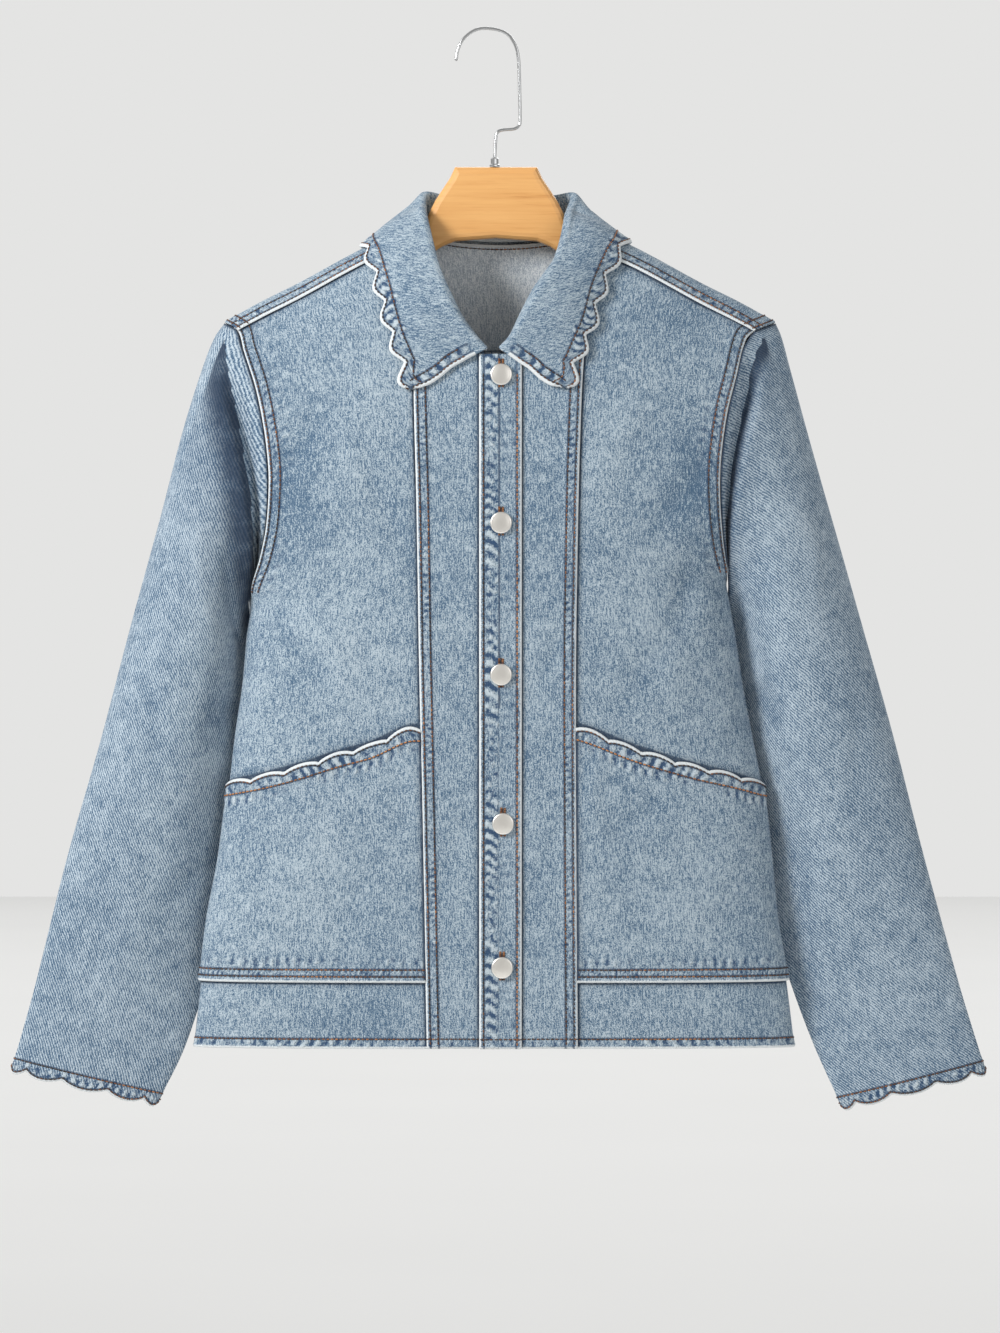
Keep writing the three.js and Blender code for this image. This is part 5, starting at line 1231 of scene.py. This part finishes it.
def cut_cloth(piece, thickness=CLOTH, outer=body_denim):
    """The mesh of a piece: its raised face, given the cloth's thickness."""
    points = piece.raised()
    tall, wide = points.shape[:2]
    used = wide - 1 if piece.wrap else wide
    faces = []
    for j in range(tall - 1):
        for i in range(wide - 1):
            if (j, i) in piece.holes:
                continue
            n = (i + 1) % used if piece.wrap else i + 1
            quad = (j * used + i, j * used + n, (j + 1) * used + n, (j + 1) * used + i)
            faces.append(quad[::-1] if piece.flipped else quad)
    values = {
        "edge": piece.edge[:, :used],
        "lap": piece.lap[:, :used],
        "band": piece.band[:, :used],
        "pucker": piece.pucker[:, :used],
        "tone": piece.tone[:, :used],
        "row_a": piece.rows[0][:, :used],
        "row_b": piece.rows[1][:, :used],
    }
    per_vertex = np.stack([side[:, :used] / 1000 for side in piece.flat], -1).reshape(-1, 2)

    def uvs(corners):
        made = per_vertex[corners]
        if piece.wrap:
            quads = made.reshape(-1, 4, 2)
            spread = quads[..., 0].max(1) - quads[..., 0].min(1)
            around = np.ptp(piece.flat[0]) / 1000
            low = quads[..., 0] < quads[..., 0].mean(1)[:, None]
            quads[..., 0] += np.where((spread > around / 2)[:, None] & low, around, 0)
        return made

    made = mesh_of(piece.name, points[:, :used].reshape(-1, 3), faces, (outer, pale_reverse_with_painted_light), values, uvs)
    shell = made.modifiers.new("cloth thickness", "SOLIDIFY")
    shell.thickness = thickness / 1000
    shell.offset = 0
    shell.material_offset = 1
    shell.material_offset_rim = 0
    return made


# Real stitches are 2.5 mm long in thread 0.5 mm thick. These are drawn coarser, so that they show.
STITCH_PITCH, STITCH_RADIUS = 3.4, 0.58


def stitches():
    """Every row of topstitching, each stitch sinking at both ends, with a dark patch of painted shade where
    it goes into the cloth.
    """
    sides, stations = 5, ((-1.0, -0.35, 0.5), (-0.55, 0.1, 1.0), (0.55, 0.1, 1.0), (1.0, -0.35, 0.5))
    vertices, faces, tones = [], [], []
    for line, normals, tone in stitch_rows:
        steps = np.linalg.norm(np.diff(line, axis=0), axis=-1)
        runs = np.concatenate([[0], np.cumsum(steps)])
        count = max(1, int(runs[-1] / STITCH_PITCH))
        centres = (np.arange(count) + 0.5) * runs[-1] / count
        sample = lambda at, array: np.stack([np.interp(at, runs, array[:, k]) for k in range(3)], -1)
        middle, facing = sample(centres, line), unit(sample(centres, normals))
        along = unit(sample(centres + 0.6, line) - sample(centres - 0.6, line))
        beside = unit(np.cross(along, facing))
        shades = tone + 0.22 * np.sin(centres / 23 + tone * 9) + random.normal(0, 0.1, count)
        for n in range(count):
            base = len(vertices)
            for reach, rise, swell in stations:
                at = middle[n] + along[n] * reach * 1.25 + facing[n] * rise
                for s in range(sides):
                    angle = 2 * math.pi * s / sides
                    round_ = beside[n] * math.cos(angle) + facing[n] * math.sin(angle)
                    vertices.append(at + round_ * STITCH_RADIUS * swell)
            for ring in range(3):
                for s in range(sides):
                    a, b = base + ring * sides + s, base + ring * sides + (s + 1) % sides
                    faces.append((a, b, b + sides, a + sides))
            faces.append(tuple(base + s for s in range(sides))[::-1])
            faces.append(tuple(base + 3 * sides + s for s in range(sides)))
            tones += [max(0.13, shades[n])] * (4 * sides)
            # A dark hexagon past each stitch, where the needle went in: painted shade of the hole.
            hole_shade = len(vertices)
            for s in range(6):
                angle = math.pi * s / 3
                reach = along[n] * (1.55 + 0.5 * math.cos(angle)) + beside[n] * 0.62 * math.sin(angle)
                vertices.append(middle[n] + reach - facing[n] * 0.05)
            faces.append(tuple(hole_shade + s for s in range(6)))
            tones += [0.0] * 6
    return mesh_of("topstitching", np.array(vertices), faces, (thread,), {"tone": np.clip(tones, 0, 1)})


def lathe(profile, count):
    """Rings of points round +z from radius and height pairs, closed on the axis."""
    angles = np.linspace(0, 2 * np.pi, count, endpoint=False)
    points, faces = [], []
    for radius, height in profile:
        points += [(radius * math.cos(a), radius * math.sin(a), height) for a in angles]
    for j in range(len(profile) - 1):
        for i in range(count):
            n = (i + 1) % count
            faces.append((j * count + i, j * count + n, (j + 1) * count + n, (j + 1) * count + i))
    faces.append(tuple(range(count))[::-1])
    faces.append(tuple((len(profile) - 1) * count + i for i in range(count)))
    return np.array(points), faces


def at_button(points, place):
    """Turns points modelled along +z so that they stand out of the front at a button's place."""
    foot = torso(place[0], place[1], FRONT).reshape(3)
    out = unit(torso(place[0], place[1], FRONT, 1.0).reshape(3) - foot)
    up = unit(np.array([0, 0, 1.0]) - out * out[2])
    across = np.cross(up, out)
    return foot + points @ np.array([across, up, out])


def button(number, place):
    top = 2 * LAYER + CLOTH / 2 + 0.45
    inside = LAYER - CLOTH / 2 - 0.45
    profile = [
        (0.2, inside - 1.5), (4.6, inside - 1.5), (5, inside - 1.1), (5, inside - 0.3), (4.6, inside),
        (2.2, inside), (2.2, top), (7.4, top), (8.1, top + 0.25), (8.45, top + 0.8), (8.5, top + 1.5),
        (8.4, top + 2.1), (8.1, top + 2.6), (7.7, top + 2.9), (7.2, top + 3.0), (6.9, top + 3.02),
        (6.0, top + 3.2), (4.4, top + 3.45), (2.4, top + 3.6), (0.2, top + 3.65),
    ]
    points, faces = lathe(profile, 56)
    return mesh_of(f"button_{number}_nickel", at_button(points, place), faces, (nickel,))


def buttonhole_threads():
    """Close bar stitches down both sides of each buttonhole."""
    vertices, faces, tones = [], [], []
    for place in BUTTON_PLACES:
        for sign in (-1, 1):
            for level in np.arange(-9.6, 12.2, 0.62):
                wander = random.normal(0, 0.08, 2)
                points, quads = lathe([(0.12, 0), (0.3, 0.25), (0.3, 1.5), (0.12, 1.75)], 6)
                outwards = sign * (points[:, 2] + 0.5 + wander[0])
                bar = np.stack([outwards, points[:, 1] + level, points[:, 0]], -1)
                bar[:, 2] += 2 * LAYER + CLOTH / 2 + 0.45 + wander[1]
                base = len(vertices)
                vertices += list(at_button(bar, place))
                faces += [tuple(base + v for v in quad) for quad in quads]
                tones += [0.62 + random.normal(0, 0.14)] * len(bar)
    return mesh_of("buttonhole_thread", np.array(vertices), faces, (thread,), {"tone": np.clip(tones, 0, 1)})


def tube(name, path, radius, material, around=14):
    """A wire through a path of x, z places, in the plane of the hanger."""
    path = np.array(path, float)
    marks = np.arange(len(path), dtype=float)
    fine = np.linspace(0, len(path) - 1, 260)
    x, z = (curve({"a": marks, "b": path[:, k]}, "a", "b")(fine) for k in (0, 1))
    centre = np.stack([x, 0 * x, z], -1)
    along = unit(np.gradient(centre, axis=0))
    side = np.array([0, 1.0, 0])
    up = np.cross(along, side)
    points, faces = [], []
    for n in range(len(centre)):
        end = min(n, len(centre) - 1 - n)
        swell = radius * (0.45 if end == 0 else 0.85 if end == 1 else 1)  # its ends are rounded
        for k in range(around):
            angle = 2 * math.pi * k / around
            points.append(centre[n] + swell * (side * math.cos(angle) + up[n] * math.sin(angle)))
    for n in range(len(centre) - 1):
        for k in range(around):
            m = (k + 1) % around
            faces.append((n * around + k, n * around + m, (n + 1) * around + m, (n + 1) * around + k))
    faces.append(tuple(range(around))[::-1])
    faces.append(tuple((len(centre) - 1) * around + k for k in range(around)))
    return mesh_of(name, np.array(points), faces, (material,))


shown = {}
for name, piece in pieces.items():
    outer = sleeve_denim if name.startswith("sleeve") else body_denim
    thickness = COLLAR_CLOTH if name == "collar" else CLOTH
    made = cut_cloth(piece, thickness, outer)
    node = {"back hem band": "hem_band_back"}.get(name, name.replace(" ", "_"))
    made.name = node + "_cloth"
    shown[name] = made
    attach(made, "root")
    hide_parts(node)

seams = stitches()
hole_thread = buttonhole_threads()
for made in (seams, hole_thread):
    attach(made, "root")
for number, place in enumerate(BUTTON_PLACES, 1):
    made = button(number, place)
    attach(made, "root")
    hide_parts(f"button_{number}")
hook = tube("wire_hook", HOOK_PATH, 1.3, wire)
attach(hook, "root")
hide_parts("hanger_hook")
for node, material in (("hanger_body", wood), ("hook_ferrule", wire)):
    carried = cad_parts[node].data
    carried.materials.clear()
    carried.materials.append(material)


# Stage, light and camera

FLOOR_Z = -1.9  # the jacket hangs from a rail 1.9 m up


def studio():
    mesh = bpy.data.meshes.new("floor")
    reach = 30.0
    corners = [(x * reach, y * reach, FLOOR_Z) for x, y in ((-1, -1), (1, -1), (1, 1), (-1, 1))]
    mesh.from_pydata(corners, [], [(0, 1, 2, 3)])
    floor = bpy.data.objects.new("floor", mesh)
    bpy.context.collection.objects.link(floor)
    material, tree, shader = finish_of("pale matte floor")
    place = add(tree, "TexCoord").outputs["Object"]
    tint = add(tree, "TexNoise", {"Vector": place, "Scale": 0.6}).outputs[0]
    sockets = {0: tint, 6: linear("#F4F4F3"), 7: linear("#F8F8F7")}
    colour = add(tree, "Mix", sockets, data_type="RGBA").outputs[2]
    tree.links.new(colour, shader.inputs["Base Color"])
    shader.inputs["Roughness"].default_value = 0.95
    mesh.materials.append(material)
    world = bpy.data.worlds.new("pale studio")
    world.use_nodes = True
    tree = world.node_tree
    tree.nodes["Background"].inputs[0].default_value = linear("#E4E4E3")
    # The wall is seen at full strength and lights the jacket at little more than half of it.
    seen = add(tree, "LightPath").outputs["Is Camera Ray"]
    strength = add(tree, "MapRange", {0: seen, 3: 0.55, 4: 1.0}).outputs[0]
    tree.links.new(strength, tree.nodes["Background"].inputs[1])
    bpy.context.scene.world = world


def lamp(name, place, aim, size, power):
    light = bpy.data.lights.new(name, "AREA")
    light.shape, light.size, light.energy = "SQUARE", size, power
    made = bpy.data.objects.new(name, light)
    bpy.context.collection.objects.link(made)
    made.location = place
    direction = Vector(aim) - Vector(place)
    made.rotation_mode = "QUATERNION"
    made.rotation_quaternion = direction.to_track_quat("-Z", "Y")


studio()
middle = (0.0094, 0, -0.45)
lamp("key softbox", (-1.9, -1.5, 0.75), middle, 0.8, 74)
lamp("fill softbox", (1.9, -2.2, 0.2), middle, 1.8, 16)
lamp("rear softbox", (0.6, 2.6, 0.8), middle, 1.8, 30)
lamp("overhead panel", (0, 18, 9), (0, 18, 0), 30.0, 1900)

# The photograph shows 0.78 mm of the jacket in each of its 1333 rows.
CAMERA_DISTANCE = 4.4
camera_data = bpy.data.cameras.new("camera")
camera_data.sensor_width = 36
camera_data.lens = 36 * CAMERA_DISTANCE / (1.333 * 0.78)
camera = bpy.data.objects.new("camera", camera_data)
camera.location = (0.0094, -CAMERA_DISTANCE, -0.4964)
camera.rotation_euler = (math.pi / 2, 0, 0)
bpy.context.collection.objects.link(camera)
bpy.context.scene.camera = camera
bpy.context.scene.view_settings.view_transform = "Standard"

bpy.context.view_layer.update()
